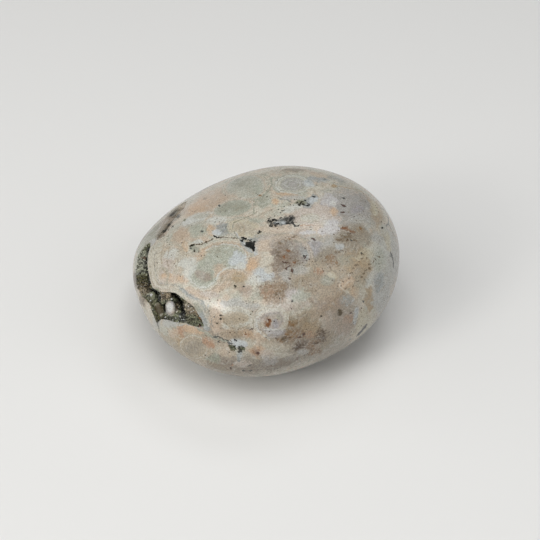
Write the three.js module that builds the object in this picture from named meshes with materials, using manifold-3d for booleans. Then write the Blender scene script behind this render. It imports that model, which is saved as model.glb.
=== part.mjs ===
// Tumbled ocean jasper: one polished pebble with a crystal-lined cleft round its narrow end.
// Millimetres, +Z up. +X runs along the stone's length, the cleft is at the -X end,
// and the small worn spot the stone rests on lies in the plane z = 0.

import * as THREE from "three";
import { mergeVertices } from "three/addons/utils/BufferGeometryUtils.js";
import Module from "manifold-3d";

const wasm = await Module();
wasm.setup();

// ---------- driving dimensions ----------

const HALF_LENGTH = 33.5;
const HALF_WIDTH = 29.6;
const HALF_HEIGHT = 19.5;
const FULLNESS = 2.18; // 2 is an ellipsoid, larger is boxier
const WIDTH_TAPER = -0.16; // the cleft end is the broader one in plan
const HEIGHT_TAPER = 0.15; // and the thinner one from the side
const REST_DEPTH = 18.9; // from the stone's middle down to its resting spot
const SKIN_DETAIL = 15; // subdivisions of the starting icosahedron

// Broad faces that tumbling has worn almost flat: where each one looks, in degrees
// round the stone and up from its waist, and how far it lies from the stone's middle.
const WORN_FACES = [
  { round: 126, up: 51, distance: 22.8 },
  { round: -141, up: 18, distance: 30.6 },
];
const FACE_SOFTNESS = 5; // how gradually a worn face blends into the rest

// Gentle unevenness left by tumbling.
const SWELLS = [
  { across: [3.1, 1.7, -2.2], phase: 0.6, height: 0.14 },
  { across: [-1.9, 4.3, 2.6], phase: 2.1, height: 0.1 },
  { across: [4.9, -2.4, 5.3], phase: 4.0, height: 0.06 },
];

// The cleft is three hollows in a row. Each follows points on the surface, given from
// the stone's middle, and is as wide and as deep as stated where it is fullest.
const CLEFT = [
  {
    // narrow upper stretch
    along: [[-14.8, 20.6, 6.9], [-17.3, 18.9, 7.4], [-20, 16.4, 7.6], [-22.6, 12.6, 8.4], [-24.4, 10.7, 8.3]],
    halfWidth: 1.9,
    halfDepth: 1.5,
  },
  {
    // left stretch, below the bridge of smooth chalcedony
    along: [[-27.4, 10.6, 6.4], [-28.9, 8.4, 6.1], [-29.9, 5.7, 6], [-30.6, 2.9, 5.5], [-31, 0.8, 4.9], [-31.1, -2.2, 4.6]],
    halfWidth: 2.3,
    halfDepth: 2.3,
  },
  {
    // main pocket
    along: [[-31.2, -1.2, 4.4], [-30.4, -5.4, 4.6], [-29, -8.3, 4.6], [-27.2, -11, 5.4], [-25.2, -13.6, 5.9], [-22.9, -17.8, 5.5]],
    halfWidth: 4,
    halfDepth: 4.6,
  },
];
const CLEFT_LEAN = 0.35; // the hollows reach in under the upper lip

// Botryoidal knobs that stand in the main pocket, worn off flush with the outside.
const KNOBS = [
  { at: [-28.9, -4.5, 3.5], radii: [2.4, 1.7, 1.9] },
  { at: [-27.2, -9.1, 4.1], radii: [2.3, 2.2, 3.1] },
  { at: [-26.3, -13.9, 3.9], radii: [1.9, 1.8, 1.5] },
  { at: [-29.6, -7.6, 1.9], radii: [1.5, 1.6, 1.4] },
];

// Small open pits in the polished skin.
const PITS = [
  { at: [-17.6, -25, 2.3], radii: [1.3, 1.1, 0.8] }, // crystal pit low on the front
  { at: [-15.9, -26.1, 2.8], radii: [1.1, 0.9, 0.7] },
  { at: [3.4, -6.2, 19.3], radii: [1.3, 0.8, 0.9] }, // dark pits on top
  { at: [0.9, -5.6, 19.1], radii: [0.8, 0.6, 0.7] },
  { at: [7.7, -2, 19.7], radii: [1.1, 0.7, 0.7] },
];
const CORNER_PIT = { at: [-7.3, -9.3, 17.5], radius: 1.5, depth: 1.4 }; // three-cornered pit

// ---------- helpers ----------

/** Three.js geometry to manifold solid. */
function solidFrom(geometry) {
  geometry.deleteAttribute("normal");
  geometry.deleteAttribute("uv");
  const merged = mergeVertices(geometry, 1e-4);
  return new wasm.Manifold(
    new wasm.Mesh({
      numProp: 3,
      vertProperties: new Float32Array(merged.attributes.position.array),
      triVerts: new Uint32Array(merged.index.array),
    })
  );
}

/** Manifold solid back to a three.js geometry. */
function geometryFrom(solid) {
  const mesh = solid.getMesh();
  const geometry = new THREE.BufferGeometry();
  geometry.setAttribute("position", new THREE.BufferAttribute(mesh.vertProperties, 3));
  geometry.setIndex(new THREE.BufferAttribute(mesh.triVerts, 1));
  geometry.computeVertexNormals();
  return geometry;
}

/** Moves every point of a geometry to where move(point) puts it. */
function reshape(geometry, move) {
  const position = geometry.attributes.position;
  const point = new THREE.Vector3();
  for (let i = 0; i < position.count; i += 1) {
    point.fromBufferAttribute(position, i);
    move(point);
    position.setXYZ(i, point.x, point.y, point.z);
  }
  return geometry;
}

/** Unit vector that looks `round` degrees round the stone and `up` degrees above its waist. */
function look(round, up) {
  const a = THREE.MathUtils.degToRad(round);
  const b = THREE.MathUtils.degToRad(up);
  return new THREE.Vector3(Math.cos(a) * Math.cos(b), Math.sin(a) * Math.cos(b), Math.sin(b));
}

/** A ramp that stays near zero below zero and follows x above it, blended over `softness`. */
function softRamp(x, softness) {
  return 0.5 * (x + Math.hypot(x, softness));
}

/** The stone's polished skin in one direction from its middle. */
function skinPoint(direction) {
  const { x, y, z } = direction;
  const sum = Math.abs(x) ** FULLNESS + Math.abs(y) ** FULLNESS + Math.abs(z) ** FULLNESS;
  const reach = sum ** (-1 / FULLNESS);
  const point = new THREE.Vector3(x * HALF_LENGTH, y * HALF_WIDTH, z * HALF_HEIGHT).multiplyScalar(reach);
  const along = point.x / HALF_LENGTH;
  point.y *= 1 + WIDTH_TAPER * along;
  point.z *= 1 + HEIGHT_TAPER * along;
  for (const { round, up, distance } of WORN_FACES) {
    const facing = look(round, up);
    const worn = softRamp(point.dot(facing) - distance, FACE_SOFTNESS) - softRamp(-distance, FACE_SOFTNESS);
    point.addScaledVector(facing, -worn);
  }
  for (const { across, phase, height } of SWELLS) {
    const swell = height * Math.sin(across[0] * x + across[1] * y + across[2] * z + phase);
    point.addScaledVector(direction, swell);
  }
  return point;
}

/** Outward direction of the skin near a point on it. */
function outward(point) {
  return new THREE.Vector3(
    point.x / HALF_LENGTH ** 2,
    point.y / HALF_WIDTH ** 2,
    point.z / HALF_HEIGHT ** 2
  ).normalize();
}

/** A hollow that follows points on the skin: fullest in its middle, closed at both ends. */
function hollow({ along, halfWidth, halfDepth }) {
  const curve = new THREE.CatmullRomCurve3(along.map((p) => new THREE.Vector3(...p)));
  const geometry = new THREE.SphereGeometry(1, 14, 22);
  return solidFrom(
    reshape(geometry, (point) => {
      const t = (point.y + 1) / 2;
      const middle = curve.getPointAt(t);
      const inward = outward(middle).negate();
      const sideways = new THREE.Vector3().crossVectors(curve.getTangentAt(t), inward).normalize();
      if (sideways.z < 0) sideways.negate();
      inward.addScaledVector(sideways, CLEFT_LEAN);
      point.copy(middle
        .addScaledVector(sideways, point.x * halfWidth)
        .addScaledVector(inward, point.z * halfDepth));
    })
  );
}

/** An ellipsoid with its own radii along X, Y and Z. */
function ellipsoid({ at, radii }, columns = 12, rows = 8) {
  const geometry = new THREE.SphereGeometry(1, columns, rows);
  geometry.scale(...radii);
  geometry.translate(...at);
  return solidFrom(geometry);
}

/** A three-cornered pit that narrows inwards. */
function cornerPit({ at, radius, depth }) {
  const geometry = new THREE.ConeGeometry(radius * 2, depth * 2, 3);
  geometry.rotateX(-Math.PI / 2); // the point looks down into the stone
  geometry.rotateZ(0.5);
  geometry.translate(at[0], at[1], at[2]);
  return solidFrom(geometry);
}

// ---------- the stone ----------

const skin = solidFrom(
  reshape(new THREE.IcosahedronGeometry(1, SKIN_DETAIL), (point) => {
    point.copy(skinPoint(point.normalize()));
  })
);

// The knobs are cut off at the skin, so that none stands proud of the polish.
const knobs = KNOBS.map((knob) => ellipsoid(knob)).reduce((all, knob) => all.add(knob));
let stoneSolid = skin;
for (const stretch of CLEFT) stoneSolid = stoneSolid.subtract(hollow(stretch));
stoneSolid = stoneSolid.add(knobs.intersect(skin));
for (const pit of PITS) stoneSolid = stoneSolid.subtract(ellipsoid(pit, 10, 6));
stoneSolid = stoneSolid.subtract(cornerPit(CORNER_PIT));

// The resting spot: everything below it is worn away flat.
const floorSlab = new THREE.BoxGeometry(4 * HALF_LENGTH, 4 * HALF_WIDTH, 2 * HALF_HEIGHT);
floorSlab.translate(0, 0, -REST_DEPTH - HALF_HEIGHT);
stoneSolid = stoneSolid.subtract(solidFrom(floorSlab));

const geometry = geometryFrom(stoneSolid);
geometry.computeBoundingBox();
const middle = geometry.boundingBox.getCenter(new THREE.Vector3());
geometry.translate(-middle.x, -middle.y, REST_DEPTH);

const polishedJasper = new THREE.MeshStandardMaterial({
  color: new THREE.Color(0.74, 0.68, 0.59),
  roughness: 0.3,
  metalness: 0,
});

const stone = new THREE.Mesh(geometry, polishedJasper);
stone.name = "jasper_stone";

const tumbledOceanJasper = new THREE.Group();
tumbledOceanJasper.add(stone);

export default tumbledOceanJasper;
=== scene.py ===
"""Tumbled ocean jasper: a polished pebble with a crystal-lined cleft, on a pale table in soft light."""

import logging
import math
from collections.abc import Callable, Iterable, Mapping, Sequence
from dataclasses import dataclass, fields
from enum import Enum

import bmesh
import bpy
import numpy as np
from mathutils import Matrix, Vector, noise


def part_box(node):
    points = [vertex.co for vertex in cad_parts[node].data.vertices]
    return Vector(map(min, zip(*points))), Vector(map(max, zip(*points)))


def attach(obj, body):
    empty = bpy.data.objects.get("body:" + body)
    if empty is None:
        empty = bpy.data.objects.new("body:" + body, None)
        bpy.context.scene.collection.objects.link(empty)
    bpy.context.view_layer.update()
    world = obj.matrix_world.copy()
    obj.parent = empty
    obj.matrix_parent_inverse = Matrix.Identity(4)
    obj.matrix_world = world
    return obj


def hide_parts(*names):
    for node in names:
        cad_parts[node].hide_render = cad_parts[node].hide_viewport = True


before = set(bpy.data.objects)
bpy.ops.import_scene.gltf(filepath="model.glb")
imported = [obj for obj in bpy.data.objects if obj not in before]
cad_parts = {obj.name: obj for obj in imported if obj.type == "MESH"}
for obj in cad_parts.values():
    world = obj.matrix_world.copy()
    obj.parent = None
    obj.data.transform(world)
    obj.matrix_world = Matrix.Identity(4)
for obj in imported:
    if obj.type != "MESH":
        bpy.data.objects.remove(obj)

LOG = logging.getLogger("ocean_jasper")
NODE = "jasper_stone"
MM = 0.001

Point = tuple[float, float, float]
Spot = tuple[float, float]  # a place on the skin: degrees round the stone from +X, and up from its waist
Colour = tuple[float, float, float]


# ---- small helpers


def unit(v: Sequence[float]) -> np.ndarray:
    """A vector scaled to length one."""
    a = np.asarray(v, float)
    return a / max(float(np.linalg.norm(a)), 1e-12)


def smooth(low: float, high: float, x: np.ndarray) -> np.ndarray:
    """Smooth step from 0 at low to 1 at high."""
    t = np.clip((x - low) / (high - low), 0.0, 1.0)
    return t * t * (3.0 - 2.0 * t)


def linear(*channels: int) -> Colour:
    """Scene-linear colour from the red, green and blue, 0 to 255, that a colour picker shows."""
    shares = (channel / 255.0 for channel in channels)
    return tuple(c / 12.92 if c <= 0.04045 else ((c + 0.055) / 1.055) ** 2.4 for c in shares)


def look(round_deg: float, up_deg: float) -> np.ndarray:
    """Unit vector that looks round_deg round the stone from +X and up_deg above its waist."""
    a, b = math.radians(round_deg), math.radians(up_deg)
    return np.array([math.cos(a) * math.cos(b), math.sin(a) * math.cos(b), math.sin(b)])


# ---- the stone's shape


@dataclass(frozen=True)
class WornFace:
    """A broad side that tumbling has worn almost flat."""

    round_deg: float
    up_deg: float
    distance: float


@dataclass(frozen=True)
class Swell:
    """One gentle wave of unevenness in the skin."""

    across: Point
    phase: float
    height: float


@dataclass(frozen=True)
class Pebble:
    """The polished outside. Lengths are millimetres from the stone's middle."""

    half_length: float = 33.5
    half_width: float = 29.6
    half_height: float = 19.5
    fullness: float = 2.18
    width_taper: float = -0.16
    height_taper: float = 0.15
    rest_depth: float = 18.9
    face_softness: float = 5.0
    faces: tuple[WornFace, ...] = (WornFace(126, 51, 22.8), WornFace(-141, 18, 30.6))
    swells: tuple[Swell, ...] = (
        Swell((3.1, 1.7, -2.2), 0.6, 0.14),
        Swell((-1.9, 4.3, 2.6), 2.1, 0.1),
        Swell((4.9, -2.4, 5.3), 4.0, 0.06),
    )

    @property
    def halves(self) -> np.ndarray:
        """Half its length, width and height."""
        return np.array([self.half_length, self.half_width, self.half_height])

    def skin(self, directions: np.ndarray) -> np.ndarray:
        """Points of the skin in the given unit directions.

        Args:
            directions: N by 3 unit vectors from the stone's middle.

        Returns:
            N by 3 points in millimetres.
        """
        reach = (np.abs(directions) ** self.fullness).sum(1) ** (-1.0 / self.fullness)
        points = directions * reach[:, None] * self.halves
        along = points[:, 0] / self.half_length
        points[:, 1] *= 1.0 + self.width_taper * along
        points[:, 2] *= 1.0 + self.height_taper * along
        for face in self.faces:
            facing = look(face.round_deg, face.up_deg)
            worn = self._ramp(points @ facing - face.distance) - self._ramp(np.array(-face.distance))
            points -= worn[:, None] * facing
        for wave in self.swells:
            lift = wave.height * np.sin(directions @ np.array(wave.across) + wave.phase)
            points += directions * lift[:, None]
        return points

    def _ramp(self, x: np.ndarray) -> np.ndarray:
        """Near zero below zero, x above it, blended softly."""
        return 0.5 * (x + np.hypot(x, self.face_softness))

    def outward(self, points: np.ndarray) -> np.ndarray:
        """Unit directions out of the skin near points, one or many.

        Args:
            points: places in millimetres from the stone's middle.

        Returns:
            A unit direction for each.
        """
        steep = np.asarray(points, float) / self.halves**2
        return steep / np.linalg.norm(steep, axis=-1, keepdims=True)


@dataclass(frozen=True)
class Knob:
    """A rounded botryoidal knob or ridge that stands in the cleft.

    along is its middle, or the two ends of its crest. sunk is how far its crest lies under the
    skin, and bare is set where no crystals grow on it.
    """

    along: tuple[Spot, ...]
    radius: float
    sunk: float
    bare: bool = False


@dataclass(frozen=True)
class Crevice:
    """A deep narrow gap in the cleft, under the lip or between knobs."""

    along: tuple[Spot, ...]
    half_width: float
    depth: float


@dataclass(frozen=True)
class Pit:
    """A small open pit in the polish. Corners round its mouth are points on the skin."""

    mouth: tuple[Point, ...]
    depth: float
    crystals: bool = False


@dataclass(frozen=True)
class Cleft:
    """An opening round the stone's narrow end.

    Its two edges are listed as (y, z) seen end-on from the -X side: the upper lip,
    which overhangs, and the lower rim, up to which the floor climbs. It is carved in
    from the direction that it opens to. wall, climb_from and climb are shares: of the
    width that the wall under the lip takes, of the width where the floor starts to
    climb, and of the depth that it has climbed at the rim.
    """

    lip: tuple[tuple[float, float], ...]
    rim: tuple[tuple[float, float], ...]
    most_depth: float
    steepness: float
    lined: bool = True
    opens_to: Spot = (-110.6, 44.0)
    wall: float = 0.1
    climb_from: float = 0.2
    climb: float = 0.85


UPPER_CLEFT = Cleft(
    lip=((23.2, 6.4), (20.3, 7.9), (18.5, 8.5), (16.9, 8.7), (14.6, 8.9), (11.8, 9.4), (9.9, 9.0)),
    rim=((24.0, 5.0), (23.0, 4.6), (21.1, 5.0), (18.6, 5.9), (15.6, 7.0), (12.4, 7.7), (9.9, 8.4)),
    most_depth=0.9,
    steepness=0.84,
    lined=False,
)
MAIN_CLEFT = Cleft(
    lip=(
        (11.2, 6.9), (9.1, 7.5), (7.1, 7.4), (4.2, 7.2), (1.1, 6.9), (-1.3, 6.5), (-3.4, 6.1),
        (-5.8, 6.7), (-7.9, 8.0), (-9.2, 8.6), (-10.8, 8.6), (-12.2, 8.5), (-13.6, 8.4), (-14.8, 8.1),
        (-16.0, 7.3), (-17.3, 6.5), (-18.6, 5.1),
    ),
    rim=(
        (11.6, 5.8), (10.4, 4.4), (7.9, 4.0), (5.7, 3.3), (4.0, 2.2), (2.0, 1.7), (-0.6, 2.0),
        (-3.4, 2.6), (-5.6, 2.4), (-6.6, 1.2), (-8.6, -0.4), (-9.6, 1.6), (-10.9, 2.3), (-13.1, 3.0),
        (-15.0, 3.9), (-16.4, 4.0), (-17.8, 4.3), (-18.6, 4.9),
    ),
    most_depth=2.6,
    steepness=1.05,
)

KNOBS = (
    Knob(((-159, 21.4), (-158.4, 20)), 1.6, 0.05, bare=True),
    Knob(((-164.8, 24.2), (-162.8, 26.6)), 1.35, 0.3),
    Knob(((-170.8, 18.4),), 1.2, 0.3, bare=True),
    Knob(((-165, 14.8), (-163.6, 13.4)), 1.3, 0.4, bare=True),
    Knob(((-154.2, 16.6), (-151.2, 18.4)), 1.6, 0.5),
    Knob(((-149.8, 29), (-145.6, 26)), 1.7, 0.3),
    Knob(((-178.4, 14.2), (-174, 10.4)), 1.2, 0.25),
)

CREVICES = (
    Crevice(((160.2, 30), (166, 28.4), (172.8, 26.6), (178.8, 25.4), (-176.4, 23)), 0.7, 1.8),
    Crevice(((-173.8, 20.6), (-169.6, 23.2), (-166.4, 22.6), (-166, 17.4)), 0.8, 2.4),
    Crevice(((-162.4, 29.4), (-158.8, 30.4), (-155, 28.6), (-152, 25.6), (-152.2, 21)), 1.1, 3),
    Crevice(((-163, 21), (-160.4, 14.8)), 0.4, 1.4),
)

PITS = (
    Pit(((-9.3, -7.9, 17.7), (-6.5, -8.4, 17.9), (-7.2, -10.9, 17.2)), 0.9),
    Pit(((-18.8, -24.4, 2.9), (-17.2, -25.4, 3.2), (-16.9, -25.3, 1.9), (-18.3, -24.6, 1.6)), 0.6, True),
    Pit(((-16.6, -25.7, 3.3), (-15.0, -26.6, 3.2), (-15.3, -26.3, 2.2), (-16.5, -25.7, 2.4)), 0.6, True),
    Pit(((2.2, -5.6, 19.1), (4.2, -4.9, 19.2), (5.2, -7.0, 19.1), (3.2, -7.1, 19.0)), 0.5),
)


def segment_distance(points: np.ndarray, line: np.ndarray) -> np.ndarray:
    """Distance of each point to a polyline.

    Args:
        points: the points.
        line: the polyline's corners in order.

    Returns:
        One distance for each point.
    """
    best = np.full(len(points), 1e9)
    for a, b in zip(line[:-1], line[1:]):
        ab = b - a
        t = np.clip(((points - a) @ ab) / max(float(ab @ ab), 1e-9), 0.0, 1.0)
        best = np.minimum(best, np.linalg.norm(points - a - t[:, None] * ab, axis=1))
    return best


def inside(points: np.ndarray, corners: np.ndarray) -> np.ndarray:
    """True for each 2-D point that lies inside the closed outline.

    Args:
        points: the 2-D points.
        corners: the outline's corners in order.

    Returns:
        True or False for each point.
    """
    x, y = points[:, 0], points[:, 1]
    result = np.zeros(len(points), bool)
    for (x0, y0), (x1, y1) in zip(corners, np.roll(corners, -1, axis=0)):
        crosses = (y0 > y) != (y1 > y)
        at = (x1 - x0) * (y - y0) / (y1 - y0 if y1 != y0 else 1e-9) + x0
        result ^= crosses & (x < at)
    return result


@dataclass
class Relief:
    """What is cut into the skin: the cleft with its knobs and crevices, and the pits.

    lumps are the heights in millimetres, and how many lie to the millimetre, of the lumps in
    the cleft's floor. They set in where it is lumpy_from deep and are whole where it is lumpy_at.
    Crevices are whole where the floor is crevices_whole_at deep, and crevice_bed is the share of
    their half width that is flat. A pit's wall takes pit_wall, and no pit reaches past pit_reach.
    """

    pebble: Pebble
    clefts: Sequence[Cleft]
    knobs: Sequence[Knob]
    crevices: Sequence[Crevice]
    pits: Sequence[Pit]
    lumps: tuple[tuple[float, float], ...] = ((0.5, 0.9), (0.3, 2.2))
    lumpy_from: float = 0.05
    lumpy_at: float = 0.9
    crevices_whole_at: float = 0.5
    crevice_bed: float = 0.3
    pit_wall: float = 0.55
    pit_reach: float = 6.0

    def outlines(self, cleft: Cleft) -> tuple[np.ndarray, np.ndarray]:
        """The cleft's lip and rim lifted onto the skin, as two 3-D polylines."""
        return tuple(np.array([self._lift(y, z) for y, z in edge]) for edge in (cleft.lip, cleft.rim))

    def _lift(self, y: float, z: float) -> np.ndarray:
        """The skin point on the -X side that has this y and z.

        Args:
            y: how far along Y.
            z: how far up.

        Returns:
            The point in millimetres.
        """
        rounds, about_one_radius, start = 40, 40.0, 0.8
        way = unit((-self.pebble.half_length * start, y, z))
        for _ in range(rounds):
            point = self.pebble.skin(way[None])[0]
            way = unit(way + np.array([0.0, y - point[1], z - point[2]]) / about_one_radius)
        return self.pebble.skin(way[None])[0]

    def near(self, points: np.ndarray, margin: float) -> np.ndarray:
        """True for each skin point that lies in or near anything that is cut in.

        Args:
            points: points on the skin.
            margin: how near counts, in millimetres.

        Returns:
            True or False for each point.
        """
        close = np.zeros(len(points), bool)
        for cleft in self.clefts:
            lip, rim = self.outlines(cleft)
            edge = np.minimum(segment_distance(points, lip), segment_distance(points, rim))
            close |= self._within(points, cleft) | (edge < margin)
        for pit in self.pits:
            mouth = np.array(pit.mouth)
            close |= np.linalg.norm(points - mouth.mean(0), axis=1) < np.ptp(mouth, axis=0).max() + margin
        return close

    def _within(self, points: np.ndarray, cleft: Cleft) -> np.ndarray:
        """True for each skin point between the cleft's two edges."""
        return inside(points[:, 1:], np.array(cleft.lip + cleft.rim[::-1])) & (points[:, 0] < 0)

    def cut(self, points: np.ndarray) -> tuple[np.ndarray, np.ndarray, np.ndarray]:
        """How far each skin point sinks, and which way.

        Args:
            points: N by 3 skin points.

        Returns:
            The depths in millimetres, N by 3 unit directions outward, and the depths again
            where crystals line what is cut, with 0 elsewhere.
        """
        sunk = np.zeros(len(points))
        ways = self.pebble.outward(points)
        lined = np.zeros(len(points), bool)
        for cleft in self.clefts:
            floor = self._cleft_depth(points, cleft)
            ways[floor > 0.0] = look(*cleft.opens_to)
            lined |= (floor > 0.0) & cleft.lined
            sunk = np.maximum(sunk, floor)
        open_floor = smooth(0.0, self.crevices_whole_at, sunk)
        for crevice in self.crevices:
            reach = segment_distance(points, self._on_skin(crevice.along)) / crevice.half_width
            sunk += crevice.depth * open_floor * (1.0 - smooth(self.crevice_bed, 1.0, reach))
        for knob in self.knobs:
            reach = segment_distance(points, self._on_skin(knob.along)) / knob.radius
            crest = knob.sunk + knob.radius * (1.0 - np.sqrt(np.maximum(1.0 - reach**2, 0.0)))
            lined &= ~((reach < 1.0) & knob.bare)
            sunk = np.where(reach < 1.0, np.minimum(sunk, np.maximum(crest, 0.0)), sunk)
        for pit in self.pits:
            hollow = self._pit_depth(points, pit)
            lined |= (hollow > 0.0) & pit.crystals
            sunk = np.maximum(sunk, hollow)
        return sunk, ways, np.where(lined, sunk, 0.0)

    def _on_skin(self, spots: tuple[Spot, ...]) -> np.ndarray:
        """The spots as skin points, at least two of them."""
        points = self.pebble.skin(np.array([look(*spot) for spot in spots]))
        return points if len(points) > 1 else np.repeat(points, 2, axis=0)

    def _cleft_depth(self, points: np.ndarray, cleft: Cleft) -> np.ndarray:
        """How far each skin point sinks into one cleft, its rough floor included.

        Args:
            points: points on the skin.
            cleft: the cleft.

        Returns:
            Millimetres for each point.
        """
        lip, rim = self.outlines(cleft)
        to_lip, to_rim = segment_distance(points, lip), segment_distance(points, rim)
        width = to_lip + to_rim
        across = to_lip / np.maximum(width, 1e-6)
        most = cleft.most_depth * (1.0 - np.exp(-cleft.steepness * width / cleft.most_depth))
        climbed = cleft.climb * smooth(cleft.climb_from, 1.0, across)
        floor = most * smooth(0.0, cleft.wall, across) * (1.0 - climbed)
        floor = np.where(self._within(points, cleft), floor, 0.0)
        rough = np.array([
            sum(height * noise.noise(Vector(p) * per_mm) for height, per_mm in self.lumps)
            if f > self.lumpy_from else 0.0
            for p, f in zip(points, floor)
        ])
        return np.maximum(floor + rough * smooth(self.lumpy_from, self.lumpy_at, floor), 0.0)

    def _pit_depth(self, points: np.ndarray, pit: Pit) -> np.ndarray:
        """How far each skin point sinks into one pit.

        Args:
            points: points on the skin.
            pit: the pit.

        Returns:
            Millimetres for each point.
        """
        mouth = np.array(pit.mouth)
        middle = mouth.mean(0)
        up = self.pebble.outward(middle)
        east = unit(np.cross((0.0, 1.0, 0.0), up))
        flat = np.stack([east, np.cross(up, east)], 1)
        close = np.linalg.norm(points - middle, axis=1) < self.pit_reach
        within = inside((points - middle) @ flat, (mouth - middle) @ flat) & close
        edge = segment_distance(points, np.vstack([mouth, mouth[:1]]))
        return np.where(within, pit.depth * smooth(0.0, self.pit_wall, edge), 0.0)


# ---- building the stone's mesh


def mesh_object(name: str, vertices: np.ndarray, faces: Sequence[Sequence[int]],
                smooth_shaded: bool = True) -> bpy.types.Object:
    """A mesh object in the scene.

    Args:
        name: the piece's name.
        vertices: N by 3 points in metres.
        faces: corner lists.
        smooth_shaded: False for a piece with flat facets.

    Returns:
        The new object.
    """
    mesh = bpy.data.meshes.new(name)
    mesh.from_pydata(vertices.tolist(), [], faces)
    mesh.update()
    mesh.polygons.foreach_set("use_smooth", [smooth_shaded] * len(mesh.polygons))
    made = bpy.data.objects.new(name, mesh)
    bpy.context.scene.collection.objects.link(made)
    return made


def keep(piece: bpy.types.Object, name: str, values: np.ndarray) -> None:
    """Stores one number, or one 3-D point, for each vertex of a piece under a name.

    Args:
        piece: the piece.
        name: what the values are called.
        values: a row or a number for each vertex.
    """
    kind, field_name = ("FLOAT", "value") if values.ndim == 1 else ("FLOAT_VECTOR", "vector")
    stored = piece.data.attributes.new(name, kind, "POINT")
    stored.data.foreach_set(field_name, values.astype(np.float32).ravel())


@dataclass
class JasperStone:
    """The pebble itself, with its cleft, knobs and pits in one skin.

    The skin is divided once more within each of fine_margins, in millimetres, of what is cut in.
    """

    relief: Relief
    offset: np.ndarray
    detail: int = 7
    fine_margins: tuple[float, ...] = (0.8, 0.5)
    cut_margin: float = 0.9
    name: str = "ocean_jasper"

    def build(self) -> bpy.types.Object:
        """Makes the mesh.

        Returns:
            The stone. Each point keeps its uncut place on the skin as "skin_place", its depth as
            "cut_depth" and its depth where crystals line it as "lining", all in millimetres.
        """
        directions, faces = self._starting_sphere()
        skin = self.relief.pebble.skin(directions)
        close = self.relief.near(skin, self.cut_margin)
        sunk, lining = np.zeros(len(skin)), np.zeros(len(skin))
        ways = self.relief.pebble.outward(skin)
        sunk[close], ways[close], lining[close] = self.relief.cut(skin[close])
        points = skin - ways * sunk[:, None]
        points[:, 2] = np.maximum(points[:, 2], -self.relief.pebble.rest_depth)
        stone = mesh_object(self.name, (points + self.offset) * MM, faces)
        keep(stone, "cut_depth", sunk)
        keep(stone, "lining", lining)
        keep(stone, "skin_place", skin)
        return stone

    def _starting_sphere(self) -> tuple[np.ndarray, list[list[int]]]:
        """Unit directions and faces of a sphere that is finer where anything is cut in.

        Returns:
            The directions, and each face's corners among them.
        """
        bm = bmesh.new()
        bmesh.ops.create_icosphere(bm, subdivisions=self.detail, radius=1.0)
        for margin in self.fine_margins:
            bm.verts.ensure_lookup_table()
            directions = np.array([v.co.normalized() for v in bm.verts])
            close = self.relief.near(self.relief.pebble.skin(directions), margin)
            edges = [e for e in bm.edges if close[e.verts[0].index] or close[e.verts[1].index]]
            bmesh.ops.subdivide_edges(bm, edges=edges, cuts=1, use_grid_fill=True)
            bmesh.ops.triangulate(bm, faces=[f for f in bm.faces if len(f.verts) > 3])
            bm.verts.index_update()
        directions = np.array([v.co.normalized() for v in bm.verts])
        faces = [[v.index for v in f.verts] for f in bm.faces]
        bm.free()
        return directions, faces


# ---- shader nodes as expressions


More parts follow.
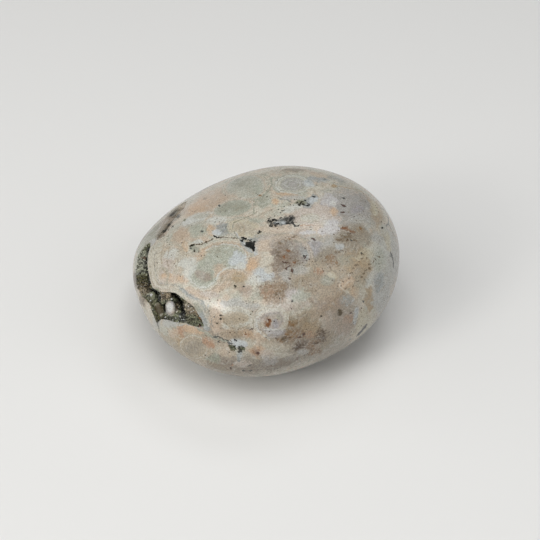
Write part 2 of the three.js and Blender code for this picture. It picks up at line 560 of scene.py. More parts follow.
class Wire:
    """An output socket of a material's nodes that can stand in Python arithmetic."""

    def __init__(self, graph: "Graph", socket: bpy.types.NodeSocket) -> None:
        """Keeps the socket with the graph it belongs to."""
        self.graph = graph
        self.socket = socket

    def other(self, name: str) -> "Wire":
        """Another output of the same node."""
        return Wire(self.graph, self.socket.node.outputs[name])

    def join(self, operation: str, first: "Term", second: "Term" = 0.0, output: int | str = 0) -> "Wire":
        """Adds the node for one operation.

        Args:
            operation: a Math operation, or a Vector Math one where either term is a vector or colour.
            first: the first term.
            second: the second term.
            output: which output is wanted.

        Returns:
            The node's result.
        """
        pair = (first, second)
        vector = any(isinstance(t, tuple) or isinstance(t, Wire) and t.socket.type != "VALUE" for t in pair)
        terms = [(float(t),) * 3 if vector and isinstance(t, (int, float)) else t for t in pair]
        kind = "ShaderNodeVectorMath" if vector else "ShaderNodeMath"
        return self.graph.add(kind, {"operation": operation}, dict(enumerate(terms)), output)

    def __add__(self, term: "Term") -> "Wire":
        """The sum."""
        return self.join("ADD", self, term)

    def __radd__(self, term: "Term") -> "Wire":
        """The sum, with the wire on the right."""
        return self.join("ADD", term, self)

    def __sub__(self, term: "Term") -> "Wire":
        """The difference."""
        return self.join("SUBTRACT", self, term)

    def __rsub__(self, term: "Term") -> "Wire":
        """The difference, with the wire on the right."""
        return self.join("SUBTRACT", term, self)

    def __mul__(self, term: "Term") -> "Wire":
        """The product."""
        return self.join("MULTIPLY", self, term)

    def __rmul__(self, term: "Term") -> "Wire":
        """The product, with the wire on the right."""
        return self.join("MULTIPLY", term, self)

    def lower(self, term: "Term") -> "Wire":
        """The lower of the two."""
        return self.join("MINIMUM", self, term)

    def sine(self) -> "Wire":
        """The sine of the value."""
        return self.join("SINE", self)

    def direction(self) -> "Wire":
        """The vector scaled to length one."""
        return self.join("NORMALIZE", self)

    def dot(self, term: "Term") -> "Wire":
        """The dot product of two vectors."""
        return self.join("DOT_PRODUCT", self, term, "Value")

    def distance(self, term: "Term") -> "Wire":
        """How far apart two points are."""
        return self.join("DISTANCE", self, term, "Value")

    def fade(self, start: float, end: float, low: float = 0.0, high: float = 1.0) -> "Wire":
        """Runs smoothly from low where the value is start to high where it is end.

        Args:
            start: where it begins.
            end: where it ends.
            low: the result at start.
            high: the result at end.

        Returns:
            The faded wire.
        """
        inputs = {"Value": self, "From Min": start, "From Max": end, "To Min": low, "To Max": high}
        settings = {"interpolation_type": "SMOOTHSTEP", "clamp": False}
        return self.graph.add("ShaderNodeMapRange", settings, inputs)

    def noise(self, per_mm: float, detail: float = 2.0, output: str = "Fac",
              roughness: float = 0.5) -> "Wire":
        """Soft noise at this place, with about per_mm lumps to the millimetre."""
        inputs = {"Vector": self, "Scale": per_mm, "Detail": detail, "Roughness": roughness}
        return self.graph.add("ShaderNodeTexNoise", {}, inputs, output)

    def cells(self, per_mm: float, feature: str = "F1", randomness: float = 1.0) -> "Wire":
        """Distances at this place in random cells, with about per_mm cells to the millimetre."""
        inputs = {"Vector": self, "Scale": per_mm, "Randomness": randomness}
        return self.graph.add("ShaderNodeTexVoronoi", {"feature": feature}, inputs, "Distance")

    def parts(self) -> "Wire":
        """The red part of the colour, with the green and the blue beside it."""
        return self.graph.add("ShaderNodeSeparateColor", {}, {0: self})

    def under(self, tint: "Tint", share: "Term") -> "Wire":
        """This colour with a tint laid over a share of it."""
        return self.graph.mix(share, self, tint.paint)

    def shaded(self, light: "Wire", share: float = 1.0) -> "Wire":
        """This colour multiplied by a value."""
        return self.graph.mix(share, self, light * (1.0, 1.0, 1.0), "MULTIPLY")


Term = Wire | float | tuple[float, ...]


class Graph:
    """A node tree that nodes are added to."""

    def __init__(self, tree: bpy.types.NodeTree) -> None:
        """Keeps the tree."""
        self.tree = tree

    def add(self, kind: str, settings: Mapping[str, object], inputs: Mapping[int | str, Term],
            output: int | str = 0) -> Wire:
        """Adds one node.

        Args:
            kind: the node's type.
            settings: its properties, set first; "stops" gives a colour ramp's (place, colour) pairs.
            inputs: a value or a wire for each socket, by number or name.
            output: which output is wanted.

        Returns:
            The wanted output.
        """
        node = self.tree.nodes.new(kind)
        for key, value in settings.items():
            if key == "stops":
                self._set_stops(node.color_ramp, value)
            else:
                setattr(node, key, value)
        for key, term in inputs.items():
            self.feed(node.inputs[key], term)
        return Wire(self, node.outputs[output])

    def _set_stops(self, ramp: bpy.types.ColorRamp, stops: Sequence[tuple[float, Colour]]) -> None:
        """Gives a colour ramp its stops.

        Args:
            ramp: the ramp.
            stops: where each stop lies, with its colour.
        """
        while len(ramp.elements) < len(stops):
            ramp.elements.new(1.0)
        for element, (place, colour) in zip(ramp.elements, stops):
            element.position = place
            element.color = (*colour, 1.0)[:4]

    def feed(self, socket: bpy.types.NodeSocket, term: Term) -> None:
        """Links a wire to a socket, or sets its value.

        Args:
            socket: the socket.
            term: the wire or the value.
        """
        if isinstance(term, Wire):
            self.tree.links.new(term.socket, socket)
        elif isinstance(term, tuple) and socket.type == "RGBA":
            socket.default_value = (*term, 1.0)[:4]
        else:
            socket.default_value = term

    def mix(self, factor: Term, under: Term, over: Term, blend: str = "MIX") -> Wire:
        """Lays one colour over another.

        Args:
            factor: how much of the upper colour shows.
            under: the lower colour.
            over: the upper colour.
            blend: how the two are blended.

        Returns:
            The blended colour.
        """
        factor_at, under_at, over_at, colour_out = 0, 6, 7, 2
        inputs = {factor_at: factor, under_at: under, over_at: over}
        return self.add("ShaderNodeMix", {"data_type": "RGBA", "blend_type": blend}, inputs, colour_out)

    def plain(self, tint: "Tint") -> Wire:
        """One tint all over."""
        return self.mix(0.0, tint.paint, tint.paint)

    def kept(self, name: str, output: str = "Fac") -> Wire:
        """What the piece's mesh keeps for each point under a name."""
        return self.add("ShaderNodeAttribute", {"attribute_name": name}, {}, output)

    def group(self, name: str, fill: Callable[[list[Wire]], Wire], inputs: Sequence[Wire]) -> Wire:
        """Adds a node group with one colour output.

        Args:
            name: the group's name.
            fill: builds the inside from its inputs, and returns the output.
            inputs: the wires that go in.

        Returns:
            The group's output.
        """
        tree = bpy.data.node_groups.new(name, "ShaderNodeTree")
        kinds = {"VALUE": "NodeSocketFloat", "VECTOR": "NodeSocketVector", "RGBA": "NodeSocketColor"}
        for number, wire in enumerate(inputs):
            tree.interface.new_socket(f"in {number}", in_out="INPUT", socket_type=kinds[wire.socket.type])
        tree.interface.new_socket("colour", in_out="OUTPUT", socket_type="NodeSocketColor")
        inner = Graph(tree)
        outlets = tree.nodes.new("NodeGroupInput").outputs[:len(inputs)]
        result = fill([Wire(inner, outlet) for outlet in outlets])
        inner.feed(tree.nodes.new("NodeGroupOutput").inputs[0], result)
        return self.add("ShaderNodeGroup", {"node_tree": tree}, dict(enumerate(inputs)))


# ---- the colours and marks in the stone


class Tint(Enum):
    """The colours in the stone, as a colour picker shows them under flat light."""

    CREAM = (186, 181, 167)
    OAT = (172, 171, 159)
    MILK = (188, 189, 182)
    WHITE = (196, 197, 192)
    SNOW = (203, 204, 204)
    ICE = (178, 183, 184)
    BLUSH = (185, 171, 154)
    PEACH = (180, 163, 144)
    APRICOT = (186, 160, 132)
    CLAY = (158, 126, 100)
    SHELL = (180, 170, 160)
    FAWN = (154, 140, 126)
    BUTTER = (182, 175, 154)
    DUNE = (172, 165, 149)
    SAND = (158, 147, 128)
    TAN = (141, 128, 108)
    PUTTY = (142, 134, 120)
    OCHRE = (158, 138, 108)
    SIENNA = (124, 96, 66)
    TAUPE = (130, 120, 110)
    UMBER = (106, 91, 72)
    BROWN = (76, 58, 42)
    RUST = (118, 82, 56)
    COPPER = (140, 104, 78)
    BLOOD = (62, 30, 22)
    SAGE = (161, 164, 151)
    LICHEN = (146, 147, 133)
    ASH = (167, 167, 162)
    STEEL = (148, 152, 150)
    LAVENDER = (154, 152, 148)
    LILAC = (152, 149, 150)
    PEARL = (180, 178, 178)
    SLATE = (118, 120, 116)
    MOSS = (112, 114, 92)
    COAL = (64, 66, 64)
    OLIVE = (74, 70, 44)
    LOAM = (78, 66, 46)
    PEAT = (40, 38, 28)
    BLACK = (20, 22, 22)

    @property
    def paint(self) -> Colour:
        """The tint as scene-linear light."""
        return linear(*self.value)


# every tint by its own name, in the order above
(CREAM, OAT, MILK, WHITE, SNOW, ICE, BLUSH, PEACH, APRICOT, CLAY, SHELL, FAWN, BUTTER, DUNE, SAND, TAN,
 PUTTY, OCHRE, SIENNA, TAUPE, UMBER, BROWN, RUST, COPPER, BLOOD, SAGE, LICHEN, ASH, STEEL, LAVENDER,
 LILAC, PEARL, SLATE, MOSS, COAL, OLIVE, LOAM, PEAT, BLACK) = Tint


@dataclass(frozen=True)
class Places:
    """Ways of finding the point in the stone, and noises for the edges of marks.

    exact is the point in millimetres, fine is barely distorted and soft more so. ragged roughens
    an edge a little and cloudy more. crumbs breaks a colour up like moss, and pepper is 1 on
    scattered tiny specks and 0 between them.
    """

    exact: Wire
    fine: Wire
    soft: Wire
    ragged: Wire
    cloudy: Wire
    crumbs: Wire
    pepper: Wire

    @classmethod
    def around(cls, exact: Wire) -> "Places":
        """Works all of them out.

        Args:
            exact: the point in millimetres.

        Returns:
            The ways of finding it.
        """
        nudge, drift, largest_speck = 1.1, 4.6, 0.27
        fine = exact + cls._along_skin(exact, exact.noise(1.6, 3.0, "Color") - 0.5) * nudge
        soft = fine + cls._along_skin(exact, exact.noise(0.4, 4.0, "Color") - 0.5) * drift
        mottle = exact.noise(0.9, 5.0, roughness=0.7) - 0.5
        crumbs = exact.noise(1.8, 5.0, roughness=0.75).fade(0.6, 0.43, low=0.1)
        cell = exact.cells(1.25)
        size = cell.other("Color").parts() * largest_speck
        return cls(exact, fine, soft, mottle * 1.3, mottle * 2.6, crumbs, (cell - size).fade(0.03, -0.03))

    @staticmethod
    def _along_skin(place: Wire, move: Wire) -> Wire:
        """The part of a move at a place that runs along the skin."""
        out = (place * tuple(1.0 / Pebble().halves**2)).direction()
        return move - out * move.dot(out)

    def wires(self) -> list[Wire]:
        """All of them, in order."""
        return [getattr(self, field.name) for field in fields(self)]


def share_of(place: Wire, ends: tuple[Spot, ...], wide: float) -> Wire:
    """How far a point is from a mark's middle line, as a share of the mark's own size.

    Args:
        place: the point in millimetres.
        ends: the middle of a round mark, or the two ends of a long one's middle line.
        wide: half the mark's width in millimetres.

    Returns:
        0 on the middle line and 1 at the mark's edge.
    """
    points = Pebble().skin(np.array([look(*end) for end in ends]))
    reaches = [place.distance(tuple(point)) for point in points]
    if len(reaches) == 1:
        return reaches[0] * (1.0 / wide)
    half = 0.5 * math.dist(*points)
    spare = math.hypot(half, wide) - half
    inputs = {0: reaches[0] + reaches[1], 1: 0.5 / spare, 2: -half / spare}
    return place.graph.add("ShaderNodeMath", {"operation": "MULTIPLY_ADD"}, inputs)


def nearest_share(place: Wire, pieces: Iterable[tuple[tuple[Spot, ...], float]]) -> Wire:
    """The least share_of among several short pieces.

    Args:
        place: the point in millimetres.
        pieces: the ends of each piece and half its width.

    Returns:
        0 on the nearest piece's middle line and 1 at its edge.
    """
    nearest, *others = pieces
    share = share_of(place, *nearest)
    for piece in others:
        share = share.lower(share_of(place, *piece))
    return share


class Mark:
    """One tint that covers part of the stone."""

    tint: Tint

    def shown(self, places: Places) -> Wire:
        """How much of the mark shows, from 0 to 1. Each kind of mark has its own."""
        raise NotImplementedError

    def lay(self, colour: Wire, places: Places) -> Wire:
        """The colour with the mark laid over it."""
        return colour.under(self.tint, self.shown(places))


@dataclass(frozen=True)
class Patch(Mark):
    """A cloud of colour, soft-edged, or broken up like moss."""

    ends: tuple[Spot, ...]
    wide: float
    tint: Tint
    cover: float = 0.9
    mossy: bool = False

    def shown(self, places: Places) -> Wire:
        """Fades out over a broad, cloudy edge.

        Args:
            places: the ways of finding the point.

        Returns:
            How much of the patch shows.
        """
        widest_fine = 1.2
        share = share_of(places.soft if self.wide > widest_fine else places.fine, self.ends, self.wide)
        mask = (share + places.cloudy).fade(2.1, 0.1, high=self.cover)
        return mask * places.crumbs if self.mossy else mask


@dataclass(frozen=True)
class Pepper(Mark):
    """Scattered tiny specks over one part of the stone."""

    ends: tuple[Spot, ...]
    wide: float
    tint: Tint
    cover: float = 0.9

    def shown(self, places: Places) -> Wire:
        """The specks that lie inside the mark's ragged edge."""
        share = share_of(places.soft, self.ends, self.wide) + places.ragged
        return share.fade(1.3, 0.7, high=self.cover) * places.pepper


@dataclass(frozen=True)
class Band:
    """One ring of an orb: how far out it lies, its tint and how much it covers."""

    out: float
    tint: Tint
    cover: float


@dataclass(frozen=True)
class Orb:
    """A round growth of chalcedony with rings of colour and hair lines between them."""

    ends: tuple[Spot, ...]
    wide: float
    bands: tuple[Band, ...]
    lines: tuple[float, ...] = ()
    line: Band = Band(0.03, SAND, 0.75)
    raggedness: float = 0.09

    def lay(self, colour: Wire, places: Places) -> Wire:
        """Lays the rings over a colour.

        Args:
            colour: the colour below.
            places: the ways of finding the point.

        Returns:
            The colour with the orb on it.
        """
        last = self.bands[-1].out
        share = share_of(places.fine, self.ends, self.wide * last) + places.ragged * self.raggedness
        rings = colour.graph.add("ShaderNodeValToRGB", {"stops": self._stops(last)}, {"Fac": share})
        return colour.graph.mix(rings.other("Alpha"), colour, rings)

    def _stops(self, last: float) -> list[tuple[float, tuple[float, ...]]]:
        """The ramp's stops, where the outermost ring lies at 1.

        Args:
            last: how far out the outermost ring lies.

        Returns:
            Where each stop lies, with its colour and cover.
        """
        outs = [band.out for band in self.bands]
        shown = np.array([(*band.tint.paint, band.cover) for band in self.bands])
        stops = [(band.out, colour) for band, colour in zip(self.bands, shown)]
        for middle in self.lines:
            for out in (middle - self.line.out, middle + self.line.out):
                stops.append((out, np.array([np.interp(out, outs, channel) for channel in shown.T])))
            stops.append((middle, np.array((*self.line.tint.paint, self.line.cover))))
        stops.sort(key=lambda stop: stop[0])
        return [(out / last, tuple(map(float, colour))) for out, colour in stops]


@dataclass(frozen=True)
class Seam(Mark):
    """A thin line where two growths meet, through points on the skin."""

    through: tuple[Spot, ...]
    half_width: float
    tint: Tint
    cover: float = 0.9

    def shown(self, places: Places) -> Wire:
        """Fades out to both sides of the line, a little raggedly."""
        pieces = ((ends, self.half_width) for ends in zip(self.through[:-1], self.through[1:]))
        return (nearest_share(places.fine, pieces) + places.ragged).fade(2.2, 0.2, high=self.cover)


@dataclass(frozen=True)
class Specks(Mark):
    """Small dots and dashes of one tint. Each is its middle, or its two ends, with half its width."""

    tint: Tint
    cover: float
    dots: tuple[tuple[tuple[Spot, ...], float], ...]

    def shown(self, places: Places) -> Wire:
        """The dots, each with a fairly crisp edge."""
        return (nearest_share(places.fine, self.dots) + places.ragged).fade(1.6, 0.6, high=self.cover)


@dataclass(frozen=True)
class Region:
    """A named part of the stone's pattern."""

    name: str
    marks: tuple[Mark | Orb, ...]

    def lay(self, colour: Wire, places: Places) -> Wire:
        """Lays the region's marks over a colour, in a node group of their own."""
        return colour.graph.group(self.name, self._fill, [colour, *places.wires()])

    def _fill(self, wires: list[Wire]) -> Wire:
        """Lays each mark in turn.

        Args:
            wires: the colour below and the ways of finding the point.

        Returns:
            The colour with the marks on it.
        """
        colour, *rest = wires
        for mark in self.marks:
            colour = mark.lay(colour, Places(*rest))
        return colour


BROAD_ZONES = Region("broad zones", (
    Patch(((121, 45), (132, 63)), 6, PEACH, 0.95),
    Patch(((124, 45), (138, 56)), 3, APRICOT, 0.6),
    Patch(((85, 74.5), (99, 85.5)), 2.2, SAGE, 0.8),
    Patch(((21, 53), (56, 61)), 3, CREAM, 0.7),
    Patch(((-8, 47), (-29, 59)), 6, LAVENDER, 0.95),
    Patch(((-29, 64), (-46, 77)), 3.5, SHELL, 0.85),
    Patch(((-94, 61),), 5.5, TAUPE, 0.75),
    Patch(((-37, 40), (-58, 57)), 3, PUTTY),
    Patch(((-74, 57),), 3.5, LAVENDER),
    Patch(((-50, 37), (-75, 52)), 3, PUTTY),
    Patch(((-57, 28), (-78, 42)), 3.5, SAND, 0.95),
    Patch(((-50, 32), (-64, 42)), 3, OCHRE, 0.6),
    Patch(((-82, 47.5), (-95, 52)), 1.8, LICHEN, 0.6),
    Patch(((-74, 35), (-98, 43)), 4.5, TAN, 0.85),
    Patch(((-109, 62.5), (-108.5, 56)), 2, BLUSH, 0.85),
    Patch(((-2, 36.5), (-26.5, 38)), 1.9, OCHRE, 0.55),
    Patch(((-28, 35), (-40, 25)), 2.5, BUTTER, 0.7),
    Patch(((-32, 27), (-34, 8)), 6, ASH),
    Patch(((-37, 29), (-56, 24)), 3, MILK, 0.6),
    Patch(((-51, 19), (-50, -9)), 4.5, ASH),
    Patch(((-59, -12), (-70, 2)), 3.5, BUTTER, 0.8),
    Patch(((-73, 2), (-79, 25)), 5, FAWN),
    Patch(((-72, 30), (-88, 39)), 2.5, TAN, 0.6),
    # partly the stone's own pale colour, partly a painted highlight: the soft glow of the front light along
    # the front
    Patch(((-88, 32), (-109, 37)), 1.3, SHELL, 0.6),
    Patch(((-91, 16), (-109, 24)), 4, TAN, 0.8),
    Patch(((-91, -7), (-126, -5)), 4, PUTTY, 0.95),
    Patch(((-116, -10), (-137, -16)), 4, PUTTY),
    Patch(((-73, -21), (-88, -7)), 4.5, PUTTY, 0.8),
    Patch(((-132, 28), (-142, 24)), 3.5, DUNE, 0.8),
    Patch(((-156, -27), (-146, 5)), 6, SAND, 0.95),
    Patch(((-124, -6), (-142, -4)), 2.5, SAND, 0.8),
))

TOP_LEFT = Region("top left", (
    Orb(
        ((95.5, 50), (97, 75.5)), 5.2, (Band(0, LICHEN, 0.95), Band(0.35, SAGE, 0.95),
        Band(0.6, OAT, 0.9), Band(0.78, BLUSH, 0.9), Band(0.92, CREAM, 0.8),
        Band(1, LICHEN, 0.6), Band(1.1, LICHEN, 0)), (0.5, 0.72, 0.85), Band(0.03, LICHEN,
        0.95)),
    Patch(((93.5, 53.5), (95.5, 64)), 1.7, LICHEN, 0.7),
    Patch(((113, 69), (114, 63.5)), 1.4, BLUSH, 0.8),
    Patch(((94.5, 82.5), (118, 85.5)), 1.4, LICHEN, 0.7),
    Orb(
        ((138.5, 80), (142.5, 67)), 3.9, (Band(0, LICHEN, 0.95), Band(0.5, SAGE, 0.95),
        Band(0.68, OAT, 0.9), Band(0.84, BLUSH, 0.9), Band(0.95, MILK, 0.7),
        Band(1.06, BLUSH, 0)), (0.6, 0.76, 0.9), Band(0.03, SAND, 0.75)),
    Patch(((133, 68), (144.5, 72)), 1.4, LICHEN, 0.8),
    Patch(((150, 62), (147.5, 49)), 2.4, MILK, 0.95),
    Patch(((167.6, 71.8), (157.8, 63.4)), 1.2, MILK),
    Patch(((147.5, 52), (151, 52)), 1.4, WHITE, 0.8),
    Patch(((149.2, 63.6), (145.4, 54.2)), 0.9, OAT, 0.8),
    Patch(((160.2, 64.2), (155.6, 52.4)), 1, OAT, 0.7),
    Patch(((133.8, 52.8), (130.4, 45.6)), 1.2, APRICOT),
))

LOBE_OVER_THE_CLEFT = Region("lobe over the cleft", (
    Orb(
        ((176, 43), (-169.5, 31.5)), 5.8, (Band(0, SHELL, 0.95), Band(0.45, CREAM, 0.95),
        Band(0.7, BLUSH, 0.9), Band(0.85, OAT, 0.9), Band(0.95, CREAM, 0.8),
        Band(1.08, BLUSH, 0)), (0.3, 0.42, 0.55, 0.64, 0.73, 0.82, 0.9, 0.98), Band(0.04, SAND,
        0.65)),
    Patch(((171, 54), (159, 47.5)), 2, PEACH),
    Patch(((172, 51.8), (-176.2, 51.4)), 0.8, APRICOT, 0.6),
    Patch(((-180, 45.5), (173, 42.5)), 1.4, MILK, 0.8),
    Patch(((-157.6, 41.8), (-174.8, 31.6)), 1, PEACH, 0.95),
    Patch(((-168.2, 38.4), (-174.2, 33.8)), 0.6, APRICOT, 0.7),
    Patch(((-159.6, 41.8), (-164, 39.6)), 0.8, APRICOT, 0.6),
    Orb(
        ((-176, 27), (-172, 34)), 2.8, (Band(0, BLUSH, 0), Band(0.55, OAT, 0.3),
        Band(0.75, OAT, 0.8), Band(1, LICHEN, 0.7), Band(1.1, LICHEN, 0)), (0.62, 0.72,
        0.82, 0.92), Band(0.04, SAND, 0.95)),
    Patch(((-145.6, 34.2), (-159.6, 35.6)), 0.6, STEEL),
    Patch(((-156, 35.4), (-163.8, 32.2)), 0.4, SAGE),
    Patch(((-141.6, 38.2), (-156.4, 37.8)), 0.9, PEACH, 0.8),
))

BLUE_GREY_MOTTLES = Region("blue grey mottles", (
    Patch(((162.5, 58), (172.5, 60.5)), 1.9, SAGE),
    Patch(((167.2, 64.6), (-177.2, 64.4)), 0.9, APRICOT, 0.7),
    Patch(((-173.2, 62.4), (-180.8, 57.4)), 0.7, BLUSH, 0.8),
    Patch(((-167.5, 70.5), (177.5, 69.5)), 1.8, STEEL, 0.95),
    Patch(((-169.8, 71.2), (178.2, 70)), 1.2, SLATE, 0.6, True),
    Patch(((-172.4, 67.4), (-180.2, 65.4)), 0.8, ICE, 0.95),
    Patch(((-175.8, 59.6), (178.2, 55.8)), 0.6, MILK, 0.95),
    Patch(((-169.4, 55.8), (-177, 54)), 0.9, LICHEN),
    Orb(
        ((-125.5, 75), (-178, 74)), 3.3, (Band(0, DUNE, 0.95), Band(0.4, BUTTER, 0.95),
        Band(0.7, CREAM, 0.95), Band(0.88, SAGE, 0.8), Band(1, LICHEN, 0.6),
        Band(1.08, LICHEN, 0)), (0.52, 0.68, 0.8), Band(0.04, SAND, 0.75)),
    Patch(((-170.6, 76.4), (-148.8, 72.6)), 1.1, SAND, 0.6),
    Patch(((-136.4, 82), (-165.4, 80.4)), 0.7, SAGE, 0.8),
))

BEAN_AND_ITS_NEIGHBOURS = Region("bean and its neighbours", (
    Orb(
        ((-134, 62), (-159, 54)), 4.9, (Band(0, SAGE, 0.95), Band(0.5, SAGE, 0.95),
        Band(0.64, MILK, 0.9), Band(0.74, PEACH, 0.9), Band(0.86, BLUSH, 0.95),
        Band(0.98, CREAM, 0.8), Band(1.06, PEACH, 0)), (0.45, 0.56, 0.7, 0.8, 0.9), Band(0.03,
        SAND, 0.85)),
    Patch(((-143.5, 62), (-156, 57.5)), 2.1, SAGE),
    Patch(((-139.5, 63.5), (-129.5, 56.5)), 1.4, ICE, 0.95),
    Patch(((-130.2, 58), (-128.2, 57)), 0.9, MILK),
    Patch(((-165, 57), (-161, 53.5)), 1.4, APRICOT, 0.7),
    Patch(((-112.5, 65.5), (-132, 73.5)), 1.5, STEEL, 0.8),
    Patch(((-124, 64.6), (-144, 70)), 0.6, STEEL, 0.95),
    Patch(((-121.8, 68.8), (-119.6, 63.2)), 0.6, ICE, 0.8),
    Patch(((-172, 48.5), (-179.5, 47)), 1.2, DUNE, 0.7),
    Patch(((-164.5, 51.5), (-171.5, 45)), 1.2, MILK, 0.85),
    Patch(((-108.5, 59), (-125, 60.5)), 1.4, PEACH, 0.95),
    Patch(((-119.2, 57.2), (-122.8, 57.8)), 0.9, APRICOT, 0.95),
    Patch(((-122.5, 59.5), (-120, 56.5)), 1.3, APRICOT, 0.7),
    Patch(((-108.5, 54), (-114.5, 52.5)), 1.4, ICE, 0.95),
    Patch(((-116.6, 51.8), (-119.4, 51)), 1.1, MILK, 0.85),
    Orb(
        ((-146, 48), (-157.5, 48)), 3.3, (Band(0, TAUPE, 0.7), Band(0.12, PUTTY, 0.95),
        Band(0.26, LICHEN, 0.95), Band(0.5, SAGE, 0.95), Band(0.66, SAGE, 0.95),
        Band(0.8, MILK, 0.9), Band(0.9, SAGE, 0.8), Band(1, CREAM, 0.8),
        Band(1.12, CREAM, 0)), (0.72, 0.83, 0.93), Band(0.03, LICHEN, 0.95)),
    Patch(((-145.4, 55.8), (-151.4, 53.4)), 0.8, LICHEN, 0.8),
    Patch(((-166, 49.5), (-159, 43)), 1.4, MILK, 0.7),
    Patch(((-129.5, 51), (-149, 54)), 1.3, PEACH, 0.8),
    Patch(((-124.5, 49), (-135.5, 48.5)), 2, SAND, 0.7),
    Patch(((-124.8, 52.2), (-131.2, 52)), 1.2, OCHRE, 0.7),
    Patch(((-131.8, 49), (-141.6, 42.2)), 0.9, PEACH, 0.8),
    Patch(((-136.4, 41.2), (-147.8, 39.2)), 0.7, SHELL, 0.8),
    Patch(((-153.5, 58.5), (-156, 50.5)), 2.1, SAGE, 0.95),
    Patch(((-153.2, 53.6), (-156.2, 50.8)), 1.1, LICHEN, 0.6),
))

UPPER_RIGHT = Region("upper right", (
    Patch(((50.5, 53.5), (59, 55.5)), 1.6, PUTTY),
    Patch(((27.5, 52.5), (41, 52.5)), 1.5, BLUSH, 0.8),
    Patch(((17.5, 48), (27, 49.5)), 1.7, STEEL, 0.6),
    Orb(
        ((42, 69.5), ), 4.9, (Band(0, LAVENDER, 0.9), Band(0.2, LAVENDER, 0.95),
        Band(0.4, ASH, 0.95), Band(0.52, LAVENDER, 0.9), Band(0.68, OAT, 0.9),
        Band(0.84, MILK, 0.9), Band(0.97, SAGE, 0.7), Band(1.08, STEEL, 0)), (0.3, 0.46,
        0.6, 0.76, 0.9), Band(0.03, LICHEN, 0.95)),
    Patch(((20.4, 66), (33.6, 64.2)), 1.1, ICE, 0.8),
    Patch(((24, 56), (34.5, 62.5)), 1.4, STEEL),
    Patch(((10.5, 63), (17.5, 68.5)), 1.4, CREAM, 0.8),
    Patch(((13.2, 55.6), (12.2, 57.8)), 0.7, OCHRE, 0.95),
    Patch(((14, 75.4), (55, 78.6)), 0.6, APRICOT, 0.7),
    Patch(((48.8, 83), (26.8, 85.4)), 0.8, APRICOT),
    Patch(((3.6, 73.8), (31.2, 81)), 1, ASH, 0.7),
    Patch(((0.5, 68), (-18.5, 75)), 1.3, STEEL, 0.95),
    Patch(((-2.8, 68.6), (-12.4, 71.8)), 0.8, ICE, 0.95),
    Patch(((-8.8, 74.8), (-11, 78.2)), 1, MOSS, 0.8),
    Patch(((-15.8, 76), (-40.6, 82.4)), 1.1, MILK, 0.8),
    Orb(
        ((-39.5, 67), (-50, 73.5)), 1.5, (Band(0, OAT, 0.9), Band(0.5, CREAM, 0.9),
        Band(0.75, DUNE, 0.8), Band(0.9, SAGE, 0.7), Band(1.05, BLUSH, 0)), (0.45, 0.8),
        Band(0.06, LICHEN, 0.85)),
    Patch(((-25, 64), (-29, 68)), 2.3, SHELL, 0.8),
    Patch(((-1.5, 62.5), (-18.5, 63.5)), 1.6, PEARL),
    Patch(((-11.8, 61.6), (-19.2, 62.2)), 0.7, WHITE, 0.8),
    Patch(((-22, 61.6), (-32, 61.2)), 0.9, APRICOT, 0.8),
    Patch(((-33.8, 57.8), (-37.2, 60.2)), 0.8, SHELL),
    Patch(((-15, 47), (-23, 53.2)), 1, LILAC, 0.8),
    Patch(((-3.2, 37.4), (-19.4, 40.2)), 1.1, BUTTER),
    Patch(((-39, 59), (-47, 61)), 1.2, PEARL),
    Patch(((-70.6, 71.6), (-133.2, 77)), 1.1, BLUSH, 0.8),
    Patch(((-79.6, 78.4), (-94.2, 80.4)), 0.6, ICE),
    Patch(((-58.4, 63.4), (-70.6, 68.2)), 0.5, PEARL, 0.8),
    Patch(((-44.8, 55.6), (-57.6, 62.6)), 1.1, PEARL, 0.85),
    Patch(((-56, 56), (-61, 55)), 1.5, ASH, 0.7),
    Patch(((-68, 59.5), (-73.5, 56)), 1.5, LILAC, 0.8),
    Patch(((-76, 57.5), (-79.5, 57)), 1.3, STEEL, 0.7),
    Patch(((-71, 63.4), (-81.6, 66.4)), 0.7, LICHEN, 0.6),
))

RIGHT_SIDE = Region("right side", (
    Patch(((-40, 47), (-49.5, 52.5)), 1.9, PUTTY, 0.95, True),
    Patch(((-40.8, 52.4), (-43.4, 55)), 0.7, RUST, 0.95, True),
    Patch(((-41, 48.2), (-43, 51.6)), 0.4, RUST, 0.85, True),
    Patch(((-44.8, 48.2), (-50, 53.2)), 0.5, UMBER, 0.95, True),
    Patch(((-48.6, 48.4), (-54.6, 53.4)), 0.4, UMBER, 0.95, True),
    Patch(((-46.2, 45.2), (-47.8, 48.2)), 0.4, UMBER, 0.95, True),
    Patch(((-35.4, 45.2), (-39.2, 47.2)), 0.7, TAN, 0.95, True),
    Patch(((-55.6, 49), (-58.8, 51.2)), 0.8, ICE, 0.7),
    Patch(((-57.6, 46.4), (-62.6, 49.8)), 0.4, UMBER, 0.85, True),
    Patch(((-64.6, 47.2), (-68.4, 50.2)), 0.6, SIENNA, 0.95, True),
    Patch(((-64.6, 45.8), (-67, 43.4)), 0.7, SIENNA, 0.95, True),
    Patch(((-64, 43.6), (-74.6, 49.8)), 0.9, TAN, 0.7, True),
    Patch(((-76, 45.4), (-78, 46.4)), 0.6, COPPER, 0.95, True),
    Patch(((-56, 38), (-66.5, 45.5)), 1.3, LICHEN, 0.6),
    Patch(((-50.5, 32), (-62, 35)), 2.3, OCHRE, 0.7),
    Patch(((-45, 33.5), (-54.5, 38.5)), 1.3, BUTTER, 0.6),
    Patch(((-41.5, 28), (-48.5, 25)), 2.3, SAGE, 0.7),
    Patch(((-27, 30), (-34.5, 26)), 1.7, BUTTER, 0.8),
    Patch(((-32.5, 34), (-38, 36.5)), 1.3, ASH, 0.8),
))

